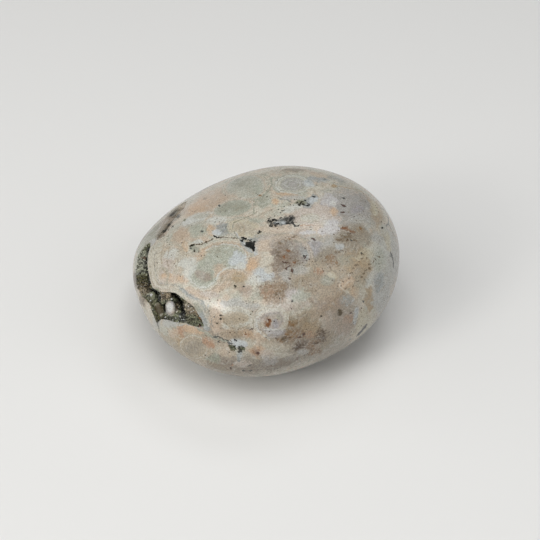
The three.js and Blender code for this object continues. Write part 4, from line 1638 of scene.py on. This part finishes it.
RIM_AND_KNOB = Region("rim and knob", (
    Patch(((173, 18), (168, -8.5)), 2.3, LOAM),
    Patch(((-172, 18.5), (179, -3.5)), 1.6, TAN),
    Patch(((-172.5, 18), (179, -2.5)), 1.5, LOAM, 0.9, True),
    Patch(((-167, 25.5), (166, -29.5)), 1.4, PUTTY, 0.85),
    Patch(((-161, 21), (175, -31)), 1.3, PUTTY),
    Patch(((-162.2, 9.2), (-167.4, -10.4)), 1.2, ASH, 0.8),
    Patch(((-153.2, 14.2), (-160.4, 5.2)), 1, ASH),
    Seam(((-164.8, 9.8), (-164.2, 3.4), (-162.8, -4.6)), 0.16, COAL, 0.85),
    Seam(
        ((164.8, 34), (169.2, 31.6), (176, 30), (-179.8, 29.4), (-175.2, 27.2), (-172.4, 26.6),
        (-169.6, 28), (-164.4, 31.6), (-161, 33.6), (-156.4, 34.2), (-153.2, 32.6), (-149.6, 33.2),
        (-146.2, 34), (-142.4, 30.4), (-139.2, 26), (-137.8, 21.2)), 0.32, CREAM, 0.6),
    Seam(
        ((167.2, 36.2), (171, 34.2), (177.8, 32.2), (-178.4, 31.6), (-174.4, 30), (-172, 29.6),
        (-169.2, 30.6), (-165.4, 33.6), (-161.6, 36), (-156.8, 36.4), (-152.8, 35.2), (-149, 35.4),
        (-145.6, 36), (-141, 32.6), (-137.8, 27.6), (-136.2, 22)), 0.12, SLATE, 0.6),
    Patch(((-159, 24.5), (-159, 18.5)), 1.4, PEARL, 0.98),
    Patch(((-163, 18.5), (-165.5, 10)), 1.7, OLIVE, 0.97),
    Patch(((-163.5, 17.5), (-165, 11)), 1.4, BROWN, 0.6, True),
    Patch(((-168, 22), (-173.5, 14.5)), 1.4, MOSS, 0.97),
    Patch(((-63, 75.5), (-75.5, 80)), 1.5, SLATE, 0.7),
    Patch(((-74.2, 77.6), (-75.4, 78.4)), 0.5, ICE),
    Patch(((-62.5, 78.5), (-65, 76)), 1.3, BLACK, 0.95, True),
    Patch(((-92.4, 78), (-101.8, 83)), 1.1, BLACK, 0.95, True),
    Pepper(((-70.5, 77), (-105.5, 81.5)), 1.6, BLACK),
    Pepper(((-6.5, 72.5), (0.5, 80)), 2.1, BLACK, 0.8),
    Seam(((128.8, 34.2), (135, 33.4), (141, 32.4), (146.4, 30.4)), 0.16, ASH, 0.7),
    Seam(((141.6, 41.6), (148, 40.2), (152.6, 36.4)), 0.13, DUNE, 0.7),
    Seam(((132.8, 40.4), (138.2, 39), (143, 37.6)), 0.12, PEAT, 0.8),
    Seam(((142.4, 40.2), (147.4, 38), (152.2, 35)), 0.12, PEAT, 0.75),
    Seam(((125.8, 28.6), (129.4, 26.4)), 0.12, LOAM),
    Seam(((132.8, 27.4), (138, 26.2), (142.4, 23.4)), 0.12, LOAM, 0.8),
    Pepper(((132, 31), (145, 37)), 3, PEAT),
    Specks(WHITE, 0.9, ((((-159.2, 21.6),), 0.88),)),
    # painted highlight: a white glint on the upper side of the round knob
    Specks(SNOW, 0.95, ((((-171.4, 19.4), (-172.6, 17.4)), 0.28),)),
    Specks(BLACK, 0.95, (
        (((-124, 70.6), (-134.8, 67.8)), 0.48), (((-124.8, 69.2), (-126.6, 67.2)), 0.56),
        (((-124, 67.8), (-122.2, 65.6)), 0.28), (((-137.6, 71.2), (-143, 69.6)), 0.28),
        (((-55.4, 77.6), (-62.2, 77.8)), 0.4), (((-70.2, 75.6), (-72.4, 77.2)), 0.34),
        (((-61.2, 75.4), (-65.6, 75)), 0.34), (((-98.4, 78.4), (-105.8, 79)), 0.3),
        (((-100.8, 80.8), (-108.4, 82.6)), 0.32), (((-84.8, 81.2), (-89.6, 82.8)), 0.3),
        (((-84.6, 78.6), (-89, 79)), 0.26),
    )),
    Specks(PEAT, 0.95, (
        (((-60.6, 71.8), (-68.6, 73)), 0.22), (((148, 37.4), (151.4, 38.8)), 0.58),
        (((120, 15), (124.2, 24.6)), 0.5),
    )),
))

DRUSE_AND_CREVICE_SHADOW = Region("druse", (
    Patch(((169.5, 29), (157.5, 18)), 1.6, LICHEN, 0.8),
    Patch(((173, 27), (163, 17.5)), 1.4, LICHEN),
    Patch(((177.8, 27), (167.8, 13.4)), 1, LICHEN, 0.7),
    Patch(((-177.4, 26.2), (172.8, 12.2)), 1, OLIVE),
    Patch(((-174.4, 23), (174, 6.2)), 0.9, LOAM),
    Patch(((-173.2, 19.6), (176, 2.2)), 0.9, TAN, 0.8),
    Patch(((-169.4, 19.6), (-173, 15.6)), 0.9, LICHEN, 0.95),
    Patch(((-162.2, 17.6), (-166.2, 11)), 1.1, OLIVE),
    Patch(((-159.4, 12.4), (-165.2, 3.6)), 1, OLIVE),
    Patch(((-161.6, 28.4), (-166.8, 23.2)), 0.9, TAN, 0.95),
    Patch(((-160, 24), (-158.5, 17)), 1.2, WHITE, 0.95),
    Patch(((-156.6, 26.4), (-155.4, 20.4)), 0.7, LOAM),
    Patch(((-152.4, 19.8), (-155.4, 16)), 0.9, MOSS, 0.8),
    Patch(((-154.2, 15.6), (-163.2, 2.6)), 1, PEAT, 0.7),
    Patch(((-168.6, 16.2), (-174.2, 7.2)), 1.2, OLIVE, 0.7),
    Patch(((-149, 27.5),), 1.8, TAN, 0.95),
    Patch(((-148.6, 30.6), (-151.2, 27.6)), 0.7, PUTTY, 0.8),
    Patch(((-142.4, 23.6), (-149, 22.4)), 0.8, MOSS, 0.8),
    Patch(((-146.8, 32.4), (-141, 23.2)), 0.7, SIENNA, 0.95),
    # white specks by the crescent: partly pale crystals, partly painted glints
    Pepper(((-153.4, 25.6), (-152.6, 21.2)), 1.2, SNOW),
    Patch(((-150.2, 20), (-152.2, 16.8)), 1, COAL, 0.8),
    # painted shadow: black lines down the crevices, in the shade under the lip and between the knobs
    Seam(((161, 30.4), (166, 28.2), (172.4, 26.2), (178.4, 25.2), (-176.4, 23)), 0.47, BLACK, 0.95),
    Seam(((-174, 21), (-169.8, 23.6), (-166.4, 23.2), (-166, 18.2)), 0.53, BLACK, 0.95),
    Seam(((-162.2, 30.2), (-159, 31), (-155.2, 29.4), (-152, 26), (-151.8, 21.2)), 0.61, BLACK, 0.95),
    Seam(((-163, 21), (-160.4, 14.8)), 0.24, BLACK),
    Specks(BROWN, 0.9, ((((167.6, 27.6), (164, 23.2)), 0.4),)),
    Specks(BLOOD, 0.9, ((((-141, 19.2), (-143, 19)), 0.32),)),
))

REGIONS = (
    BROAD_ZONES, TOP_LEFT, LOBE_OVER_THE_CLEFT, BLUE_GREY_MOTTLES, BEAN_AND_ITS_NEIGHBOURS, UPPER_RIGHT,
    RIGHT_SIDE, TAUPE_MOSS, BROWN_CLOUDS, BROWN_MOSS, LOWER_LEFT, RIND_AND_UPPER_CLEFT, PALE_CLOUDS,
)

DETAILS = (SEAMS, PEPPER, DASHES_AND_DOTS, RIM_AND_KNOB)


def druse_colour_and_crevice_shadow(places: Places) -> Wire:
    """The cleft's colours, with the painted shadow down its crevices, shared by its floor and its crystals.
    """
    return DRUSE_AND_CREVICE_SHADOW.lay(places.fine.graph.plain(MOSS), places)


def new_material(name: str) -> tuple[bpy.types.Material, bpy.types.ShaderNode]:
    """A new material, and its shader.

    Args:
        name: the material's name.

    Returns:
        The material and its Principled shader.
    """
    made = bpy.data.materials.new(name)
    made.use_nodes = True
    return made, made.node_tree.nodes["Principled BSDF"]


@dataclass(frozen=True)
class JasperFinish:
    """Polished ocean jasper: packed orbs, seams, moss and specks, and dark druse down in the cleft. Some
    marks are painted light: shadow down the cleft's crevices and under its lip, highlights along the front
    and on a knob, and a lightened lower right edge.

    peel is how many bumps the polish has to the millimetre, and their height, for each size of
    bump. cleft_lumps is the height of the lumps in the cleft. orb_rings and agate_lines are how
    tightly the rings of the orbs and the flowing lines lie.
    """

    facing: np.ndarray
    roughness: float = 0.24
    rougher_in_cleft: float = 0.3
    mottled_gloss: float = 0.06
    ior: float = 1.54
    peel: tuple[tuple[float, float], ...] = ((1.1, 0.02), (6.0, 0.004))
    cleft_lumps: float = 0.25
    orbs_per_mm: float = 0.1
    orb_randomness: float = 0.85
    orb_rings: float = 88.0
    agate_lines: float = 80.0
    name: str = "polished_ocean_jasper"

    def material(self) -> bpy.types.Material:
        """Makes the material.

        Returns:
            The material.
        """
        made, shader = new_material(self.name)
        graph = Graph(made.node_tree)
        places = Places.around(graph.kept("skin_place", "Vector"))

        colour = self._ground(places.exact)
        for region in REGIONS:
            colour = region.lay(colour, places)
        colour = self._veins(colour, places)
        for region in DETAILS:
            colour = region.lay(colour, places)
        colour = graph.mix(self._hidden(places.exact), colour, self._growths(places))
        colour = self._grain(colour, places)
        colour = self._druse_floor(colour, places)
        graph.feed(shader.inputs["Base Color"], colour)

        sheltered = graph.kept("cut_depth").fade(0.03, 0.4)
        roughness = self.roughness + sheltered * self.rougher_in_cleft + places.ragged * self.mottled_gloss
        graph.feed(shader.inputs["Roughness"], roughness)
        graph.feed(shader.inputs["Normal"], self._bump(places.exact, sheltered))
        shader.inputs["IOR"].default_value = self.ior
        return made

    def _ground(self, exact: Wire) -> Wire:
        """Soft clouds of cream, peach and grey-green.

        Args:
            exact: the point in millimetres.

        Returns:
            The colour.
        """
        cloud = exact.noise(0.22, 3.0, roughness=0.55).fade(0.4, 0.6)
        ground = exact.graph.mix(cloud, CREAM.paint, BLUSH.paint)
        elsewhere = exact + (40.0, 0.0, 0.0)
        veil = elsewhere.noise(0.5, 4.0, roughness=0.6)
        return ground.under(SAGE, veil.fade(0.42, 0.68, high=0.75))

    def _hidden(self, exact: Wire) -> Wire:
        """1 on the sides where the pattern is left to chance, 0 where it is laid mark by mark."""
        return exact.dot(tuple(self.facing / Pebble().halves**2)).fade(0.0, -0.006)

    def _growths(self, places: Places) -> Wire:
        """Orbs of chalcedony packed together, with rings, hair lines, seams, moss and dust.

        Args:
            places: the ways of finding the point.

        Returns:
            The colour.
        """
        size, randomness = self.orbs_per_mm, self.orb_randomness
        distance = places.soft.cells(size, randomness=randomness)
        kind = distance.other("Color").parts()
        body_tints = (SAND, OAT, PEACH, LICHEN, PUTTY, LAVENDER, TAN, SAGE, FAWN, DUNE)
        stops = [(i / len(body_tints), tint.paint) for i, tint in enumerate(body_tints)]
        body = kind.graph.add("ShaderNodeValToRGB", {"stops": stops}, {"Fac": kind})
        raggedness = 0.03
        out = distance + places.ragged * raggedness
        core = kind.other("Green").fade(0.2, 0.8, high=0.75)
        body = body.under(LICHEN, out.fade(0.3, 0.08) * core)
        body = body.under(BLUSH, out.fade(0.36, 0.5, high=0.7))
        rings = (out * self.orb_rings + kind.other("Blue") * 6.0).sine().fade(0.45, 1.0, high=0.4)
        body = body.under(MILK, rings * out.fade(0.2, 0.3))
        moss = places.exact.noise(0.3).fade(0.54, 0.66, high=0.85)
        body = body.under(UMBER, moss * places.crumbs)
        body = self._veins(body, places)
        border = places.soft.cells(size, "DISTANCE_TO_EDGE", randomness) + places.ragged * raggedness
        body = body.under(MILK, border.fade(0.075, 0.03, high=0.8))
        body = body.under(SLATE, border.fade(0.03, 0.005, high=0.8) * kind.other("Green"))
        elsewhere = places.exact + (0.0, 60.0, 0.0)
        spots = elsewhere.noise(0.22, 3.0) - places.crumbs * 0.03
        return body.under(PEAT, spots.fade(0.66, 0.7, high=0.95))

    def _veins(self, colour: Wire, places: Places) -> Wire:
        """The milky wisps, flowing agate lines and dust that run through the colours.

        Args:
            colour: the colour so far.
            places: the ways of finding the point.

        Returns:
            The colour with them in it.
        """
        wisps = places.exact.noise(0.6, 6.0, roughness=0.72)
        colour = colour.under(MILK, wisps.fade(0.54, 0.68, high=0.35))
        colour = colour.under(TAN, wisps.fade(0.47, 0.33, high=0.4))
        flow = places.exact.noise(0.12, 1.0, roughness=0.4) * self.agate_lines + places.ragged * 0.4
        shown = places.exact.noise(0.3, 1.0).fade(0.45, 0.62, high=0.2)
        colour = colour.under(MILK, flow.sine().fade(0.3, 1.0) * shown)
        half_a_wave = 3.1
        colour = colour.under(PUTTY, (flow + half_a_wave).sine().fade(0.6, 1.0) * shown)
        dusty = places.exact.noise(0.25).fade(0.46, 0.62, high=0.9)
        return colour.under(BROWN, places.pepper * dusty)

    def _grain(self, colour: Wire, places: Places) -> Wire:
        """The fine unevenness that runs through every colour."""
        specks = places.exact.noise(3.0, 3.0, roughness=0.8).fade(0.34, 0.66, low=0.34, high=1.3)
        return colour.shaded(specks, 0.5)

    def _druse_floor(self, colour: Wire, places: Places) -> Wire:
        """The ground between the crystals in the cleft, with the painted shadow down its crevices.

        Args:
            colour: the colour so far.
            places: the ways of finding the point.

        Returns:
            The colour with the ground in the cleft.
        """
        flecks = places.exact.noise(3.0, 3.0, roughness=0.7).fade(0.42, 0.62, high=0.75)
        floor = druse_colour_and_crevice_shadow(places).under(PEAT, flecks)
        return floor.graph.mix(floor.graph.kept("lining").fade(0.05, 0.35), colour, floor)

    def _bump(self, exact: Wire, sheltered: Wire) -> Wire:
        """The faint orange peel of a tumbled polish, and the roughness of the cleft.

        Args:
            exact: the point in millimetres.
            sheltered: 1 down in the cleft and 0 on the polish.

        Returns:
            The normal.
        """
        broad, fine = (exact.noise(per_mm) * height for per_mm, height in self.peel)
        rough = exact.noise(3.0, 4.0, roughness=0.7) * sheltered * self.cleft_lumps
        inputs = {"Strength": 1.0, "Distance": MM, "Height": broad + fine + rough}
        return exact.graph.add("ShaderNodeBump", {}, inputs)


# ---- the crystals in the cleft


@dataclass(frozen=True)
class QuartzFinish:
    """Drusy quartz, glassy, from smoky olive to frosty grey. The deep crystals are painted darker as painted
    shade, and the palest are white, partly frosted quartz and partly painted glints.
    """

    roughness: float = 0.16
    rougher_when_pale: float = 0.12
    ior: float = 1.55
    shades: tuple[float, float] = (0.2, 1.6)
    name: str = "drusy_quartz"

    def material(self) -> bpy.types.Material:
        """Makes the material, which reads from the mesh each crystal's shade: a random tone, painted darker
        with depth as painted shade.

        Returns:
            The material.
        """
        made, shader = new_material(self.name)
        graph = Graph(made.node_tree)
        shade = graph.kept("shade")
        colour = druse_colour_and_crevice_shadow(Places.around(graph.kept("skin_place", "Vector")))
        colour = colour.shaded(shade.fade(0.0, 1.0, *self.shades))
        # the palest crystals turn white: partly frosted quartz, partly painted glints
        colour = colour.under(SNOW, shade.fade(0.9, 0.96, high=0.9))
        graph.feed(shader.inputs["Base Color"], colour)
        graph.feed(shader.inputs["Roughness"], self.roughness + shade * self.rougher_when_pale)
        shader.inputs["IOR"].default_value = self.ior
        return made


@dataclass
class DruseLining:
    """The small quartz points that line the cleft and the two low pits.

    Points stand rooted in the stone, and are held down so that they stay under the skin:
    headroom is the share of the depth they may take, and slack what they may add to it.
    They are at_mouth of their size at the skin, and larger by a step per millimetre of depth. Deeper down
    they are also painted darker by a step per millimetre, as painted shade.
    """

    offset: np.ndarray
    count: int = 3200
    radius: tuple[float, float] = (0.1, 0.27)
    slender: tuple[float, float] = (1.3, 2.6)
    at_mouth: float = 0.75
    larger_per_mm: float = 0.25
    largest_from: float = 2.0
    headroom: float = 0.75
    slack: float = 0.12
    shade_spread: tuple[float, float] = (1.5, 1.7)
    painted_shade_below: float = 1.5
    painted_shade_per_mm: float = 0.12
    root: float = 0.12
    shoulder: float = 0.45
    taper: float = 0.92
    tilt: float = 0.5
    least_cut: float = 0.3
    seed: int = 11
    name: str = "druse_crystals"

    def build(self, stone: bpy.types.Object) -> bpy.types.Object:
        """Makes the crystals on the lined parts of the stone.

        Args:
            stone: the finished stone, which keeps its "lining" and "skin_place".

        Returns:
            One joined mesh of crystals. Each keeps a "shade", a random tone painted darker with depth as
            painted shade, and the "skin_place" of its foot.
        """
        rng = np.random.default_rng(self.seed)
        feet, ways, depths, spots = self._feet(stone, rng)
        vertices, faces, shades = [], [], []
        for foot, way, depth in zip(feet, ways, depths):
            grown = self.at_mouth + self.larger_per_mm * min(depth, self.largest_from)
            radius = rng.uniform(*self.radius) * grown
            height = min(radius * rng.uniform(*self.slender), self.headroom * depth + self.slack)
            points, sides = self._point(foot, way, radius, height, rng.uniform(0.0, math.tau))
            faces += [[corner + len(vertices) for corner in side] for side in sides]
            vertices += points.tolist()
            # painted shade: crystals deep in the cleft are coloured darker
            darker = self.painted_shade_per_mm * max(depth - self.painted_shade_below, 0.0)
            shades.append(rng.beta(*self.shade_spread) - darker)
        made = mesh_object(self.name, (np.array(vertices) + self.offset) * MM, faces, smooth_shaded=False)
        corners = len(vertices) // len(shades)
        keep(made, "shade", np.repeat(shades, corners))
        keep(made, "skin_place", np.repeat(spots, corners, axis=0))
        made.data.materials.append(QuartzFinish().material())
        return made

    def _feet(self, stone: bpy.types.Object, rng: np.random.Generator) -> tuple[np.ndarray, ...]:
        """Where crystals stand, which way they point and how deep they are.

        Args:
            stone: the finished stone.
            rng: the source of chance.

        Returns:
            Feet in millimetres from the stone's middle, unit directions, depths below the skin,
            and the uncut places on the skin.
        """
        mesh = stone.data
        places, skin = np.empty((len(mesh.vertices), 3)), np.empty((len(mesh.vertices), 3))
        mesh.vertices.foreach_get("co", places.reshape(-1))
        mesh.attributes["skin_place"].data.foreach_get("vector", skin.reshape(-1))
        lining = np.empty(len(mesh.vertices))
        mesh.attributes["lining"].data.foreach_get("value", lining)
        places = places / MM - self.offset
        corners = np.empty((len(mesh.polygons), 3), int)
        mesh.polygons.foreach_get("vertices", corners.reshape(-1))
        corners = corners[lining[corners].min(1) > self.least_cut]
        a, b, c = (places[corners[:, i]] for i in range(3))
        normals = np.cross(b - a, c - a)
        areas = np.linalg.norm(normals, axis=1)
        normals /= areas[:, None]
        chances = areas * np.maximum(normals @ look(*MAIN_CLEFT.opens_to), 0.1)
        picked = rng.choice(len(corners), self.count, p=chances / chances.sum())
        weights = rng.dirichlet((1.0, 1.0, 1.0), self.count)[:, :, None]
        ways = normals[picked] + rng.normal(0.0, self.tilt, (self.count, 3))
        ways /= np.linalg.norm(ways, axis=1, keepdims=True)
        chosen = corners[picked]
        feet = (places[chosen] * weights).sum(1)
        return feet, ways, lining[chosen].mean(1), (skin[chosen] * weights).sum(1)

    def _point(self, foot: np.ndarray, way: np.ndarray, radius: float, height: float,
               turn: float) -> tuple[np.ndarray, list[list[int]]]:
        """One six-sided quartz point.

        Args:
            foot: the middle of its base.
            way: the unit direction it grows in.
            radius: its own radius.
            height: its height above the foot.
            turn: its turn about its own axis.

        Returns:
            Its corners and faces.
        """
        east = unit(np.cross(way, (0.3, 0.9, 0.2)))
        north = np.cross(way, east)
        six = 6
        angles = turn + np.arange(six) * math.tau / six
        ring = radius * (np.cos(angles)[:, None] * east + np.sin(angles)[:, None] * north)
        base, shoulder = foot - way * self.root, foot + way * height * self.shoulder
        points = np.vstack([base + ring, shoulder + ring * self.taper, foot + way * height])
        sides = [[i, (i + 1) % six, six + (i + 1) % six, six + i] for i in range(six)]
        tips = [[six + i, six + (i + 1) % six, 2 * six] for i in range(six)]
        return points, sides + tips


# ---- camera, light and table


@dataclass(frozen=True)
class SoftBox:
    """One large soft light that looks at the stone.

    round_deg is counted from the camera's side, anticlockwise seen from above.
    """

    name: str
    round_deg: float
    up_deg: float
    size: tuple[float, float]
    power: float
    colour: Colour = (1.0, 1.0, 1.0)
    distance: float = 0.9
    mirrored: bool = True

    def hang(self, target: Vector, camera_deg: float) -> bpy.types.Object:
        """Puts the light in the scene, turned to the target.

        Args:
            target: what it lights.
            camera_deg: the camera's own turn round the stone.

        Returns:
            The light.
        """
        data = bpy.data.lights.new(self.name, "AREA")
        data.shape = "RECTANGLE"
        data.size, data.size_y = self.size
        data.energy = self.power
        data.color = self.colour
        lamp = bpy.data.objects.new(self.name, data)
        lamp.visible_glossy = self.mirrored
        place = target + Vector(look(self.round_deg + camera_deg - 90.0, self.up_deg)) * self.distance
        turn = (place - target).to_track_quat("Z", "Y")
        lamp.matrix_world = Matrix.Translation(place) @ turn.to_matrix().to_4x4()
        bpy.context.scene.collection.objects.link(lamp)
        return lamp


@dataclass
class Studio:
    """Camera, lights and the pale table.

    The camera stands azimuth degrees round from the stone's front and elevation degrees above
    it, and aims aim_right and aim_up millimetres off the stone's middle, as the camera sees it.
    """

    middle: np.ndarray
    azimuth: float = -20.6
    elevation: float = 44.0
    distance: float = 0.320
    aim_right: float = 0.69
    aim_up: float = -0.92
    lens: float = 86.3
    lights: tuple[SoftBox, ...] = (
        SoftBox("skylight", -8, 78, (0.6, 0.6), 4.6, mirrored=False),
        SoftBox("window", -54, 43, (0.45, 0.45), 2.3, (1.0, 0.99, 0.97), mirrored=False),
        SoftBox("window_pane", -53, 28, (0.2, 0.2), 1.7, (1.0, 0.97, 0.93)),
        SoftBox("front_glow", 22, 49, (0.5, 0.2), 0.75, (1.0, 0.98, 0.96)),
        SoftBox("back_glow", 150, 59, (0.5, 0.2), 0.8),
        SoftBox("back_wall", 180, 16, (0.9, 0.3), 0.25),
        SoftBox("left_wall", -90, 28, (0.5, 0.7), 1.3),
        SoftBox("right_wall", 70, 38, (0.5, 0.7), 1.6),
    )
    room_colour: Colour = (0.97, 0.98, 1.0)
    room_strength: float = 0.06
    table_half: float = 1.5
    table_colour: Colour = (0.69, 0.69, 0.68)
    table_roughness: float = 0.55

    def toward_camera(self) -> np.ndarray:
        """Unit vector from the stone toward the camera."""
        return look(self.azimuth - 90.0, self.elevation)

    def camera(self) -> bpy.types.Object:
        """The camera, looking down at the stone from in front of its long side.

        Returns:
            The camera.
        """
        a = math.radians(self.azimuth)
        back = Vector(self.toward_camera())
        right = Vector((math.cos(a), math.sin(a), 0.0))
        up = back.cross(right)
        target = (Vector(self.middle) + right * self.aim_right + up * self.aim_up) * MM
        data = bpy.data.cameras.new("camera")
        data.lens = self.lens
        data.clip_start = 0.01
        eye = bpy.data.objects.new("camera", data)
        eye.matrix_world = Matrix.Translation(target + back * self.distance) @ Matrix(
            (right, up, back)).transposed().to_4x4()
        bpy.context.scene.collection.objects.link(eye)
        bpy.context.scene.camera = eye
        return eye

    def light(self) -> None:
        """The soft boxes and the room's own pale light."""
        scene = bpy.context.scene
        scene.view_settings.view_transform = "Standard"
        scene.view_settings.look = "None"
        for box in self.lights:
            box.hang(Vector(self.middle) * MM, self.azimuth)
        world = bpy.data.worlds.new("room")
        world.use_nodes = True
        sky = world.node_tree.nodes["Background"]
        sky.inputs["Color"].default_value = (*self.room_colour, 1.0)
        sky.inputs["Strength"].default_value = self.room_strength
        scene.world = world

    def table(self) -> bpy.types.Object:
        """A broad pale table top under the stone.

        Returns:
            The table top.
        """
        half = self.table_half
        corners = np.array([(-half, -half, 0), (half, -half, 0), (half, half, 0), (-half, half, 0)], float)
        top = mesh_object("table_top", corners, [(0, 1, 2, 3)])
        material, shader = new_material("pale_table")
        shader.inputs["Base Color"].default_value = (*self.table_colour, 1.0)
        shader.inputs["Roughness"].default_value = self.table_roughness
        top.data.materials.append(material)
        return top


def main() -> None:
    """Builds the scene."""
    logging.basicConfig(level=logging.INFO, format="%(name)s: %(message)s")
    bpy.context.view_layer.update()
    low, high = (np.array(corner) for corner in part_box(NODE))
    pebble = Pebble()
    relief = Relief(pebble, (UPPER_CLEFT, MAIN_CLEFT), KNOBS, CREVICES, PITS)
    step = 3
    ways = [look(a, b) for a in range(-180, 180, step) for b in range(-89, 90, step)]
    spread = pebble.skin(np.array(ways))
    offset = (low + high) / 2 / MM - (spread.min(0) + spread.max(0)) / 2
    offset[2] = pebble.rest_depth

    studio = Studio(offset)
    studio.camera()
    studio.light()
    studio.table()

    stone = JasperStone(relief, offset).build()
    stone.data.materials.append(JasperFinish(studio.toward_camera()).material())
    druse = DruseLining(offset).build(stone)
    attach(druse, "root")
    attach(stone, "root")
    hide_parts(NODE)
    for piece in (stone, druse):
        LOG.info("%s: %d vertices, %d faces", piece.name, len(piece.data.vertices), len(piece.data.polygons))


if __name__ == "__main__":
    main()
